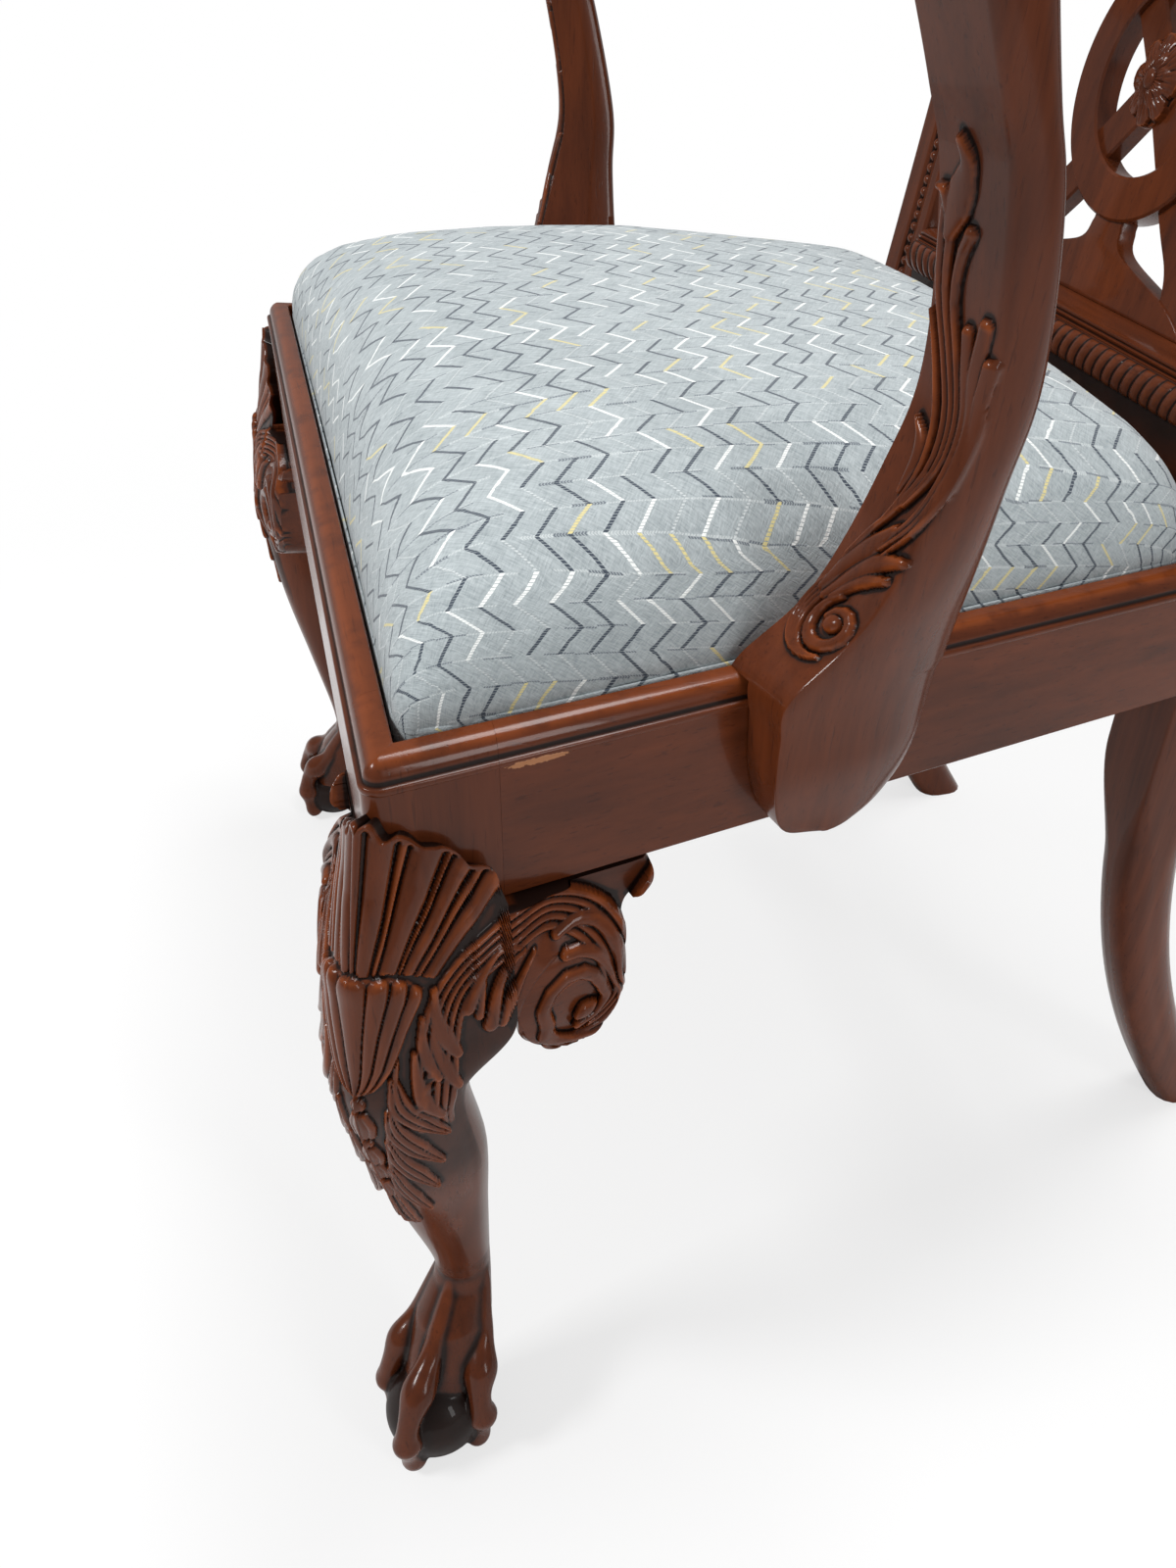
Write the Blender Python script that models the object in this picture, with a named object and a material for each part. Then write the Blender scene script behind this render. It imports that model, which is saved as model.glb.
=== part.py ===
"""Chippendale armchair: mahogany frame with cabriole legs, pierced splat and a drop-in seat.

Metres, +Z up. While it is built, x = 0 is the middle of the chair, y = 0 the front face of
the front rail and z = 0 the floor. The front faces -Y, and the sitter's left is +X. The
finished chair hangs on one empty, which moves it so that its box is centred on the origin.
"""

import math

import bmesh
import bpy
from mathutils import Matrix, Vector

# Driving dimensions: fit of the pieces
GAP = 0.0003
SEAT_CLEARANCE = 0.0015

# Driving dimensions: seat frame
SEAT_FRONT_WIDTH = 0.600
SEAT_DEPTH = 0.430
SPLAY = math.radians(11.0)
RAIL_TOP = 0.440
RAIL_HEIGHT = 0.076
RAIL_THICKNESS = 0.030
BAND = 0.014
REBATE = 0.016
MOULD_RADIUS = 0.009
MOULD_STEP = 0.002
BACK_RAIL_THICKNESS = 0.034
BACK_LEDGE = 0.014
TENON_LENGTH = 0.022
TENON_THICKNESS = 0.009
TENON_SHOULDER = 0.012

# Driving dimensions: front legs
POST = 0.052
POST_SETBACK = 0.002
SHELL_DROP = 0.022
SHELL_PROUD = 0.008
BREAST_HEIGHT = 0.356
BREAST_PROUD = 0.0200
THIGH_HEIGHT = 0.318
THIGH_PROUD = 0.0225
KNEE_HEIGHT = 0.284
KNEE_PROUD = 0.0230
KNEE_REACH = 0.031
CALF_HEIGHT = 0.223
CALF_RADIUS = 0.0265
CALF_INSET = 0.0130
ANKLE_HEIGHT = 0.118
ANKLE_LENGTH = 0.020
ANKLE_RADIUS = 0.0147
ANKLE_INSET = 0.0273
WRIST_HEIGHT = 0.073
WRIST_RADIUS = 0.0205
WRIST_INSET = 0.018
FOOT_INSET = 0.010
FOOT_OVERLAP = 0.012
BALL_RADIUS = 0.0265
BALL_INSET = 0.003
BALL_SUNK = 0.0025
CLAW_RADIUS = 0.0075
CLAW_SUNK = 0.0055

# Driving dimensions: knee blocks
BLOCK_REACH = 0.066
BLOCK_DROP = 0.078
BLOCK_BACK = 0.022
BLOCK_PROUD = 0.020
EAR_PROUD = 0.008
EAR_RADIUS = 0.008
WAIST_REACH = 0.050
SCROLL_RADIUS = 0.0255
SCROLL_REACH = 0.0235

# Driving dimensions: back
BACK_POST_WIDTH = 0.046
BACK_POST_DEPTH = 0.042
STILE_TOP_WIDTH = 0.040
STILE_TOP_DEPTH = 0.030
STILE_LENGTH = 0.490
STILE_FLARE = 0.028
LEAN = math.radians(10.5)
KICK = 0.105
KICK_HEIGHT = 0.310
REAR_FOOT_DEPTH = 0.044
REAR_FOOT_WIDTH = 0.038
REAR_LEG_ROUND = 0.016
POST_ARRIS = 0.001
CREST_HEIGHT = 0.084
CREST_THICKNESS = 0.030
EAR_REACH = 0.026
SHOE_HEIGHT = 0.076
SHOE_SETBACK = 0.006
SHOE_DEPTH = 0.036
GADROON_RADIUS = 0.0085
GADROON_PROUD = 0.0055
COVE_HEIGHT = 0.008
COVE_DEPTH = 0.010
SPLAT_SETBACK = 0.018
SPLAT_THICKNESS = 0.012
SPLAT_TENON = 0.010
RING_RISE = 0.198
RING_RADIUS = 0.062
RING_WIDTH = 0.024
RING_PROUD = 0.0016
STRAP_WIDTH = 0.0215
STRAP_SET_IN = 0.0006
STRAP_SWELL = 0.088
STEM_WIDTH = 0.028
NECK_HEIGHT = 0.026
BASE_WIDTH = 0.200
BASE_HEIGHT = 0.016
LOOP_WIDTH = 0.068
LOOP_HEIGHT = 0.116
LOOP_BAND = 0.019
LOOP_PROUD = 0.0008
HEAD_WIDTH = 0.150
HEAD_HEIGHT = 0.022
ROSETTE_RADIUS = 0.017
ROSETTE_PROUD = 0.006

# Driving dimensions: arms
ARM_UNDERSIDE = 0.698
ARM_THICKNESS = 0.028
ARM_WIDTH = 0.042
ARM_FRONT = 0.112
ARM_TAPER = 0.22
ARM_SWEEP = 0.016
ARM_HOUSING = 0.010
HAND_RADIUS = 0.021
HAND_WIDTH = 0.047
HAND_EDGE = 0.003
SUPPORT_FROM_FRONT = 0.205
SUPPORT_PROUD = 0.025
SUPPORT_FLARE = 0.036
SUPPORT_FOOT_DROP = 0.075
SUPPORT_FOOT_LENGTH = 0.088
SUPPORT_WAIST = 0.030
SUPPORT_NECK = 0.025
SUPPORT_TOP_LENGTH = 0.032
SUPPORT_SWEEP = 0.020
SUPPORT_FORWARD = 0.016
SUPPORT_ROUND = 0.007

# Driving dimensions: corner blocks, screws and dowels
CORNER_LEG = 0.052
CORNER_DROP = 0.003
CORNER_RAISE = 0.010
SCREW_HEAD_RADIUS = 0.0042
SCREW_HEAD_LENGTH = 0.003
SCREW_RADIUS = 0.0019
SCREW_BITE = 0.015
CORNER_GRIP = 0.013
CORNER_SCREW_INSET = 0.022
COUNTERBORE = 0.010
SUPPORT_SCREW_SPREAD = 0.030
DOWEL_RADIUS = 0.005
DOWEL_LENGTH = 0.034

# Driving dimensions: drop-in seat
BOARD_THICKNESS = 0.012
COVER_THICKNESS = 0.0015
DUST_COVER_THICKNESS = 0.001
DUST_COVER_INSET = 0.006
CUSHION_CROWN = 0.524
CUSHION_CORNER = 0.018
CUSHION_SHOULDER = 0.150
CUSHION_DRAW_IN = 0.002
CUSHION_CORNER_FALL = 0.50

# Worked out from the driving dimensions
SIN, COS, TAN = math.sin(SPLAY), math.cos(SPLAY), math.tan(SPLAY)
HALF_FRONT = SEAT_FRONT_WIDTH / 2
HALF_REAR = HALF_FRONT - SEAT_DEPTH * TAN
BACK_INNER = HALF_REAR - BACK_POST_WIDTH
RAIL_BOTTOM = RAIL_TOP - RAIL_HEIGHT
LEDGE = RAIL_TOP - REBATE
POST_INNER = POST - POST_SETBACK
SUPPORT_RISE = ARM_UNDERSIDE - GAP - RAIL_TOP
ARM_MIDDLE = ARM_UNDERSIDE + ARM_THICKNESS / 2
SHOE_TOP = RAIL_TOP + SHOE_HEIGHT
UP_BACK = Vector((0.0, math.sin(LEAN), math.cos(LEAN)))
INTO_BACK = Vector((0.0, math.cos(LEAN), -math.sin(LEAN)))
BISECTOR = Vector((COS, SIN - 1.0, 0.0)).normalized()
SPLAT_FOOT = (SHOE_HEIGHT + GAP) / math.cos(LEAN) + SPLAT_SETBACK * math.tan(LEAN)

MAHOGANY = ("mahogany", (0.105, 0.036, 0.022), 0.32, 0.0)
SECONDARY_WOOD = ("secondary_wood", (0.36, 0.23, 0.12), 0.6, 0.0)
STEEL = ("steel", (0.42, 0.41, 0.40), 0.35, 1.0)
WOVEN_CLOTH = ("woven_cloth", (0.30, 0.34, 0.38), 0.9, 0.0)
FOAM = ("foam", (0.76, 0.70, 0.50), 0.95, 0.0)
BLACK_CLOTH = ("black_cloth", (0.03, 0.03, 0.03), 0.95, 0.0)
PLYWOOD = ("plywood", (0.48, 0.34, 0.19), 0.7, 0.0)


# Places in the chair

def front(along, out, z):
    """A point on the front rail: along it from the left front corner, out from its face."""
    return Vector((HALF_FRONT - along, -out, z))


def side(along, out, z):
    """A point on the left side rail: along it from the left front corner, out from its face."""
    return Vector((HALF_FRONT - SIN * along + COS * out, COS * along + SIN * out, z))


def back(x, rise, depth):
    """A point on the leaning back: up it from the rail's top, behind the posts' front faces."""
    return Vector((x, SEAT_DEPTH, RAIL_TOP)) + UP_BACK * rise + INTO_BACK * depth


def up_back(x, depth, rise):
    """The same point on the back, with its depth named before its rise."""
    return back(x, rise, depth)


def plain(x, y, z):
    return Vector((x, y, z))


def stile_outer(rise):
    """The back post's outer edge above the rail, which flares towards the crest."""
    return HALF_REAR + STILE_FLARE * (max(rise, 0.0) / STILE_LENGTH) ** 1.4


def stile_width(rise):
    share = min(max(rise, 0.0) / STILE_LENGTH, 1.0)
    return BACK_POST_WIDTH + (STILE_TOP_WIDTH - BACK_POST_WIDTH) * share


# Modelling tools

def spline(points, steps):
    """A smooth curve through the points, with this many steps between each two."""
    points = [Vector(point) for point in points]
    held = [2 * points[0] - points[1], *points, 2 * points[-1] - points[-2]]
    curve = []
    for a, b, c, d in zip(held, held[1:], held[2:], held[3:]):
        for step in range(steps):
            s = step / steps
            curve.append(0.5 * (2 * b + (c - a) * s + (2 * a - 5 * b + 4 * c - d) * s * s
                                + (3 * b - a - 3 * c + d) * s ** 3))
    return curve + [points[-1]]


def arc(centre, radius, start, end, steps):
    """Points of a circular arc in two dimensions, angles in degrees."""
    angles = [math.radians(start + (end - start) * k / steps) for k in range(steps + 1)]
    middle = Vector(centre)
    return [middle + radius * Vector((math.cos(angle), math.sin(angle))) for angle in angles]


def loft(rings):
    """A closed solid through rings of equally many points, capped at both ends."""
    bm = bmesh.new()
    loops = [[bm.verts.new(point) for point in ring] for ring in rings]
    for low, high in zip(loops, loops[1:]):
        for k in range(len(low)):
            bm.faces.new((low[k - 1], low[k], high[k], high[k - 1]))
    bm.faces.new(reversed(loops[0]))
    bm.faces.new(loops[-1])
    bmesh.ops.recalc_face_normals(bm, faces=bm.faces)
    return bm


def closed_loft(rings):
    """A closed solid whose last ring meets its first."""
    bm = bmesh.new()
    loops = [[bm.verts.new(point) for point in ring] for ring in rings]
    for low, high in zip(loops, loops[1:] + loops[:1]):
        for k in range(len(low)):
            bm.faces.new((low[k - 1], low[k], high[k], high[k - 1]))
    bmesh.ops.recalc_face_normals(bm, faces=bm.faces)
    return bm


def box(place, low, high):
    """A box between two corners given in the coordinates of a place function."""
    corners = [(low[0], low[1]), (high[0], low[1]), (high[0], high[1]), (low[0], high[1])]
    return loft([[place(a, b, level) for a, b in corners] for level in (low[2], high[2])])


def circle_round(centre, axis, radius, sides):
    """Points of a circle about an axis."""
    first = axis.orthogonal().normalized()
    second = axis.normalized().cross(first)
    turns = [math.tau * k / sides for k in range(sides)]
    return [centre + radius * (first * math.cos(turn) + second * math.sin(turn)) for turn in turns]


def turned(start, direction, profile, sides=12):
    """A turned solid: profile lists distance along the axis and radius."""
    axis = direction.normalized()
    return loft([circle_round(start + axis * along, axis, radius, sides) for along, radius in profile])


def tube(points, radii, sides):
    """A round tube along points, each with its own radius, its section turning about one fixed side."""
    aside = (points[-1] - points[0]).orthogonal().normalized()
    rings = []
    for k, point in enumerate(points):
        direction = (points[min(k + 1, len(points) - 1)] - points[max(k - 1, 0)]).normalized()
        first = direction.cross(aside).normalized()
        second = direction.cross(first)
        turns = [math.tau * n / sides for n in range(sides)]
        rings.append([point + radii[k] * (first * math.cos(a) + second * math.sin(a)) for a in turns])
    return loft(rings)


def combined(first, second, operation):
    """The Boolean of two solids, as a new solid."""
    objects = []
    for bm in (first, second):
        bmesh.ops.triangulate(bm, faces=bm.faces)
        mesh = bpy.data.meshes.new("working")
        bm.to_mesh(mesh)
        bm.free()
        objects.append(bpy.data.objects.new("working", mesh))
        bpy.context.scene.collection.objects.link(objects[-1])
    modifier = objects[0].modifiers.new("combine", "BOOLEAN")
    modifier.operation = operation
    modifier.solver = "EXACT"
    modifier.object = objects[1]
    graph = bpy.context.evaluated_depsgraph_get()
    evaluated = objects[0].evaluated_get(graph)
    result = bmesh.new()
    result.from_mesh(evaluated.to_mesh())
    evaluated.to_mesh_clear()
    for obj in objects:
        mesh = obj.data
        bpy.data.objects.remove(obj)
        bpy.data.meshes.remove(mesh)
    return result


def joined(solid, *others):
    for other in others:
        solid = combined(solid, other, "UNION")
    return solid


def cut(solid, *cutters):
    for cutter in cutters:
        solid = combined(solid, cutter, "DIFFERENCE")
    return solid


def bevelled(bm, chosen, width, segments):
    """Rounds the edges whose two ends are both chosen."""
    edges = [edge for edge in bm.edges if all(chosen(vert.co) for vert in edge.verts)]
    bmesh.ops.bevel(bm, geom=edges, offset=width, segments=segments, profile=0.5, affect="EDGES",
                    clamp_overlap=True)
    return bm


def mirrored(bm):
    """A copy on the chair's other side."""
    copy = bm.copy()
    bmesh.ops.transform(copy, matrix=Matrix.Scale(-1, 4, Vector((1, 0, 0))), verts=copy.verts)
    bmesh.ops.reverse_faces(copy, faces=copy.faces)
    return copy


def add_empty(name, parent=None):
    empty = bpy.data.objects.new(name, None)
    empty.parent = parent
    bpy.context.scene.collection.objects.link(empty)
    return empty


def add(name, bm, look, parent):
    """Makes a solid into a named object with its own material."""
    look_name, colour, roughness, metallic = look
    material = bpy.data.materials.new(f"{name}_{look_name}")
    material.use_nodes = True
    shader = material.node_tree.nodes["Principled BSDF"]
    shader.inputs["Base Color"].default_value = (*colour, 1.0)
    shader.inputs["Roughness"].default_value = roughness
    shader.inputs["Metallic"].default_value = metallic
    mesh = bpy.data.meshes.new(name)
    bm.to_mesh(mesh)
    bm.free()
    mesh.materials.append(material)
    mesh.shade_smooth()
    mesh.set_sharp_from_angle(angle=math.radians(35))
    obj = bpy.data.objects.new(name, mesh)
    obj.parent = parent
    bpy.context.scene.collection.objects.link(obj)
    return obj


def add_pair(name, bm, look, parent):
    """Adds a left piece and its mirror image on the right."""
    right = mirrored(bm)
    add(f"{name}_left", bm, look, parent)
    add(f"{name}_right", right, look, parent)


# Seat frame

def rail_mould():
    """The rail's upper outer edge, as distance in from its face and height: step and quarter round."""
    start = RAIL_TOP - MOULD_RADIUS
    curve = arc((-MOULD_STEP - MOULD_RADIUS, start), MOULD_RADIUS, 0, 90, 4)
    return [Vector((0.0, start - MOULD_STEP)), Vector((-MOULD_STEP, start - MOULD_STEP / 2)), *curve]


def rail_profile():
    """The seat rail's section, as distance out from its face and height."""
    return [Vector((-RAIL_THICKNESS, RAIL_BOTTOM)), Vector((0.0, RAIL_BOTTOM)), *rail_mould(),
            Vector((-BAND, RAIL_TOP)), Vector((-BAND, LEDGE)), Vector((-RAIL_THICKNESS, LEDGE))]


def front_joint(y):
    """How far the front rail runs from the middle, at this depth behind its face."""
    return HALF_FRONT - POST - y * TAN


def side_start(out):
    """Where the side rail starts behind the front post, at this distance out from its face."""
    return POST - out * TAN


def side_end(out):
    """Where the side rail ends at the back post, at this distance out from its face."""
    return (SEAT_DEPTH - out * SIN) / COS


def tenon(place, start, end, grow):
    """A rail's tenon along a place function, or its mortise where it grows."""
    middle = -RAIL_THICKNESS / 2
    half = TENON_THICKNESS / 2 + grow
    return box(place, (start - grow, middle - half, RAIL_BOTTOM + TENON_SHOULDER - grow),
               (end + grow, middle + half, LEDGE - TENON_SHOULDER + grow))


def front_rail():
    half = [(front_joint(-out) - GAP / COS, -out, z) for out, z in rail_profile()]
    solid = loft([[plain(sign * x, y, z) for x, y, z in half] for sign in (-1, 1)])
    left = tenon(front, POST - TENON_LENGTH, POST + TENON_LENGTH, 0.0)
    right = mirrored(left)
    return joined(solid, left, right)


def side_rail():
    profile = rail_profile()
    near = [side(side_start(out) + GAP / COS, out, z) for out, z in profile]
    far = [side(side_end(out) - GAP / COS, out, z) for out, z in profile]
    ends = side_end(-RAIL_THICKNESS / 2)
    tenons = [tenon(side, POST - TENON_LENGTH, POST + TENON_LENGTH, 0.0),
              tenon(side, ends - TENON_LENGTH, ends + TENON_LENGTH, 0.0)]
    return joined(loft([near, far]), *tenons)


def back_tenon(grow):
    """The back rail's left tenon, or its mortise where it grows."""
    middle = SEAT_DEPTH + BACK_POST_DEPTH / 2
    half = TENON_THICKNESS / 2 + grow
    low = (BACK_INNER - TENON_LENGTH, middle - half, RAIL_BOTTOM + TENON_SHOULDER - grow)
    high = (BACK_INNER + TENON_LENGTH + grow, middle + half, LEDGE - TENON_SHOULDER + grow)
    return box(plain, low, high)


def back_rail():
    front_face, shoe_face = SEAT_DEPTH - BACK_LEDGE, SEAT_DEPTH + SHOE_SETBACK / 2
    rear_face = SEAT_DEPTH + BACK_RAIL_THICKNESS
    profile = [(front_face, RAIL_BOTTOM), (rear_face, RAIL_BOTTOM), (rear_face, RAIL_TOP),
               (shoe_face, RAIL_TOP), (shoe_face, LEDGE), (front_face, LEDGE)]
    half = BACK_INNER - GAP
    solid = loft([[plain(x, y, z) for y, z in profile] for x in (-half, half)])
    return joined(solid, back_tenon(0.0), mirrored(back_tenon(0.0)))


def seat_pocket():
    """The space for the drop-in seat above the ledge, which the front posts give way to."""
    plan = []
    for sign, y in ((-1, BAND), (1, BAND), (1, SEAT_DEPTH), (-1, SEAT_DEPTH)):
        plan.append((sign * (HALF_FRONT - BAND / COS - y * TAN), y))
    return loft([[plain(x, y, z) for x, y in plan] for z in (LEDGE, RAIL_TOP + REBATE)])


# Front legs

def leg_ring(z, inset, half, arris, inner, count=20):
    """A leg section: a square with rounded corners, its arris turned to the chair's corner."""
    centre = front(0.0, 0.0, z) - BISECTOR * inset * math.sqrt(2)
    first = (BISECTOR + plain(-BISECTOR.y, BISECTOR.x, 0)).normalized()
    second = plain(first.y, -first.x, 0)
    ring = []
    for k in range(count):
        turn = math.tau * (k + 0.5) / count
        at_arris = math.cos(turn) > 0 and math.sin(turn) > 0
        wide, deep = rounded_square(turn, 2 / (arris if at_arris else inner))
        ring.append(centre + half * (first * wide + second * deep))
    return ring


def rounded_square(turn, power):
    """A point of a circle drawn out towards a square, as the power falls from 1 towards 0."""
    return [math.copysign(abs(value) ** power, value) for value in (math.cos(turn), math.sin(turn))]


def leg_shank():
    """The cabriole from the ball up to the shell's top.

    A station is height, inset, half width and squareness, at the arris and at the other corners."""
    shin_inset, shin_radius = (ANKLE_INSET + CALF_INSET) / 2, (ANKLE_RADIUS + CALF_RADIUS) / 2
    upper = [(KNEE_HEIGHT, KNEE_PROUD, KNEE_REACH, 2.6, 3.0),
             (THIGH_HEIGHT, THIGH_PROUD, POST_INNER, 2.8, 5.0),
             (BREAST_HEIGHT, BREAST_PROUD, POST_INNER, 2.9, 7.0),
             (RAIL_TOP - SHELL_DROP, SHELL_PROUD, POST_INNER, 3.2, 7.0)]
    stations = [
        (2 * BALL_RADIUS - FOOT_OVERLAP, FOOT_INSET, BALL_RADIUS - CLAW_SUNK, 2.0, 2.0),
        (WRIST_HEIGHT, WRIST_INSET, WRIST_RADIUS, 2.0, 2.0),
        (ANKLE_HEIGHT - ANKLE_LENGTH, ANKLE_INSET, ANKLE_RADIUS, 2.0, 2.0),
        (ANKLE_HEIGHT, ANKLE_INSET, ANKLE_RADIUS, 2.0, 2.0),
        ((ANKLE_HEIGHT + CALF_HEIGHT) / 2, shin_inset, shin_radius, 2.2, 2.2),
        (CALF_HEIGHT, CALF_INSET, CALF_RADIUS, 2.4, 2.4),
        *[(z, (reach - proud) / 2, (reach + proud) / 2, arris, inner)
          for z, proud, reach, arris, inner in upper],
    ]
    return loft([leg_ring(*station) for station in spline(stations, 2)])


def leg_post():
    """The square post that the rails are tenoned into, its moulded top mitred round the corner."""
    levels = [(0.0, RAIL_BOTTOM - BLOCK_BACK), *[(-out, z) for out, z in rail_mould()]]
    inner = front(POST, 0, 0) + Vector((-SIN, COS, 0)) * POST
    rings = []
    for inset, z in levels:
        corner = HALF_FRONT - inset * (1 + SIN) / COS
        rings.append([Vector((corner, inset, z)), Vector((front_joint(inset), inset, z)),
                      Vector((inner.x, inner.y, z)), side(side_start(-inset), -inset, z)])
    return loft(rings)


def ball_centre():
    return front(0.0, 0.0, BALL_RADIUS - BALL_SUNK) - BISECTOR * BALL_INSET * math.sqrt(2)


def claw(turn):
    """One talon: from the ankle over its knuckles and down round the ball, in shares of the ball."""
    out = Matrix.Rotation(turn, 3, "Z") @ BISECTOR
    under = ball_centre()
    reach = BALL_RADIUS + CLAW_RADIUS - CLAW_SUNK
    path = [(0.52, 2.05, 0.9), (0.80, 1.62, 0.95), (0.98, 1.10, 1.05), (1.03, 0.62, 0.95), (0.86, 0.22, 0.72)]
    points = [plain(under.x, under.y, BALL_RADIUS * up) + out * reach * across for across, up, _ in path]
    return tube(points, [CLAW_RADIUS * share for _, _, share in path], 8)


def front_leg():
    ball = bmesh.new()
    bmesh.ops.create_uvsphere(ball, u_segments=16, v_segments=10, radius=BALL_RADIUS)
    bmesh.ops.translate(ball, vec=ball_centre(), verts=ball.verts)
    claws = [claw(math.radians(turn)) for turn in (0, 90, 180, 270)]
    leg = joined(leg_post(), leg_shank(), ball, *claws)
    floor = box(front, (-POST, -2 * POST, -POST), (2 * POST, POST, 0.0))
    mortises = [tenon(front, POST - TENON_LENGTH, POST + TENON_LENGTH, GAP),
                tenon(side, POST - TENON_LENGTH, POST + TENON_LENGTH, GAP)]
    return cut(leg, seat_pocket(), floor, *mortises)


# Knee blocks

def block_outline():
    """Distance from the post and height below the rail: ear, waist and scroll."""
    ear_middle = (BLOCK_REACH - EAR_RADIUS, -EAR_RADIUS * 1.25)
    ear = arc(ear_middle, EAR_RADIUS, 75, -60, 4)
    scroll_middle = (SCROLL_REACH, SCROLL_RADIUS - BLOCK_DROP)
    scroll = arc(scroll_middle, SCROLL_RADIUS, 35, -155, 7)
    waist_top = -EAR_RADIUS * 3
    waist = [Vector((WAIST_REACH, waist_top)), Vector((WAIST_REACH, (scroll[0].y + waist_top) / 2))]
    top = [Vector((GAP, -GAP)), Vector((ear_middle[0], -GAP))]
    return [*top, *ear, *waist, *scroll, Vector((GAP, scroll[-1].y))]


def knee_block(place, start):
    """A block under a rail beside the front post, proud by the knee and dying towards its ear."""
    rings = []
    for proud in (False, True):
        ring = []
        for along, rise in block_outline():
            share = max(along, 0.0) / BLOCK_REACH
            out = BLOCK_PROUD + (EAR_PROUD - BLOCK_PROUD) * share if proud else -BLOCK_BACK
            ring.append(place(start(out) + along, out, RAIL_BOTTOM + rise))
        rings.append(ring)
    return loft(rings)


def front_start(out):
    """Where the front rail starts beside the front post, at this distance out from its face."""
    return POST - out * TAN


def knee_blocks(parent):
    add_pair("knee_block_front", knee_block(front, front_start), MAHOGANY, parent)
    add_pair("knee_block_side", knee_block(side, side_start), MAHOGANY, parent)


# Back

def back_post():
    """Rear leg and stile in one piece: the leg kicks back, the stile leans and flares."""
    rings = []
    for step in range(9):
        share = 1 - step / 8
        slim = min(4 * share, 1.0)
        depth = BACK_POST_DEPTH + (REAR_FOOT_DEPTH - BACK_POST_DEPTH) * share
        width = BACK_POST_WIDTH + (REAR_FOOT_WIDTH - BACK_POST_WIDTH) * slim
        corner = POST_ARRIS + (REAR_LEG_ROUND - POST_ARRIS) * slim
        middle_y = SEAT_DEPTH + KICK * share ** 2 + depth / 2
        middle = plain(HALF_REAR - width / 2, middle_y, KICK_HEIGHT * step / 8)
        rings.append([middle + point for point in rounded_rectangle(width, depth, corner)])
    for step in range(10):
        rise = STILE_LENGTH * step / 9
        width = stile_width(rise)
        depth = BACK_POST_DEPTH + (STILE_TOP_DEPTH - BACK_POST_DEPTH) * step / 9
        middle = back(stile_outer(rise) - width / 2, rise, depth / 2)
        rings.append([middle + plain(point.x, 0, 0) + INTO_BACK * point.y
                      for point in rounded_rectangle(width, depth, POST_ARRIS)])
    return loft(rings)


def rounded_rectangle(width, depth, corner):
    """A rectangle in plan about the origin, each corner rounded through three points."""
    points = []
    for x, y in ((1, -1), (1, 1), (-1, 1), (-1, -1)):
        tip = plain(x * width / 2, y * depth / 2, 0)
        ends = [tip - plain(x * corner, 0, 0), tip - plain(0, y * corner, 0)]
        ends = ends if x * y < 0 else ends[::-1]
        points += [ends[0], tip - plain(x, y, 0) * corner * (1 - math.sqrt(0.5)), ends[1]]
    return points


def stile_tenon(grow):
    """The back post's upper tenon, or its mortise in the crest where it grows."""
    middle = stile_outer(STILE_LENGTH) - stile_width(STILE_LENGTH) / 2
    depth = STILE_TOP_DEPTH / 2
    half = TENON_THICKNESS / 2 + grow
    low = (middle - TENON_THICKNESS - grow, depth - half, STILE_LENGTH - TENON_LENGTH)
    high = (middle + TENON_THICKNESS + grow, depth + half, STILE_LENGTH + TENON_LENGTH + grow)
    return box(up_back, low, high)


def finished_back_post():
    ends = side_end(-RAIL_THICKNESS / 2)
    rail_mortise = tenon(side, ends - TENON_LENGTH, ends + TENON_LENGTH, GAP)
    return cut(joined(back_post(), stile_tenon(0.0)), rail_mortise, back_tenon(GAP), arm_screw_bore())


def crest_rail():
    """Serpentine crest with upturned ears, mortised for the stiles and the splat."""
    low = STILE_LENGTH + GAP
    end = stile_outer(STILE_LENGTH)
    ear = [(0.08, 0.0), (0.4, 0.26), (0.85, 0.48), (1.0, 0.62), (0.4, 0.71)]
    dips = [(0.84, 0.60), (0.56, 0.67), (0.27, 0.86), (0.0, 1.0)]
    ear_points = [(end + EAR_REACH * out, low + CREST_HEIGHT * up) for out, up in ear]
    dip_points = [(end * out, low + CREST_HEIGHT * up) for out, up in dips]
    right = [*spline(ear_points[:3], 2), *spline([*ear_points[3:], *dip_points], 3)]
    outline = [*right, *[Vector((-x, rise)) for x, rise in reversed(right[:-1])]]
    solid = loft([[back(x, rise, depth) for x, rise in outline] for depth in (0.0, CREST_THICKNESS)])
    return cut(solid, stile_tenon(GAP), mirrored(stile_tenon(GAP)), splat_tenon(STILE_LENGTH, GAP))


def splat_shoe():
    """The block the splat stands in: fascia, gadrooned nose and a cove above it."""
    face = SEAT_DEPTH + SHOE_SETBACK
    rear = face + SHOE_DEPTH
    low = RAIL_TOP + GAP
    nose = SHOE_TOP - COVE_HEIGHT - GADROON_RADIUS
    turns = [math.radians(turn) for turn in (0, 36, 72, 108, 144, 180)]
    bulge = [(face - GADROON_PROUD * math.sin(turn), nose - GADROON_RADIUS * math.cos(turn)) for turn in turns]
    hollow = [(0.4, 1.0), (0.5, 0.5), (1.0, 0.0)]
    cove = [(face + COVE_DEPTH * deep, SHOE_TOP - COVE_HEIGHT * down) for deep, down in hollow]
    profile = [(face, low), *bulge, *cove, (rear, SHOE_TOP), (rear, low)]
    half = BACK_INNER - GAP
    solid = loft([[plain(x, y, z) for y, z in profile] for x in (-half, half)])
    return cut(solid, splat_tenon(SPLAT_FOOT, GAP))


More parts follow.
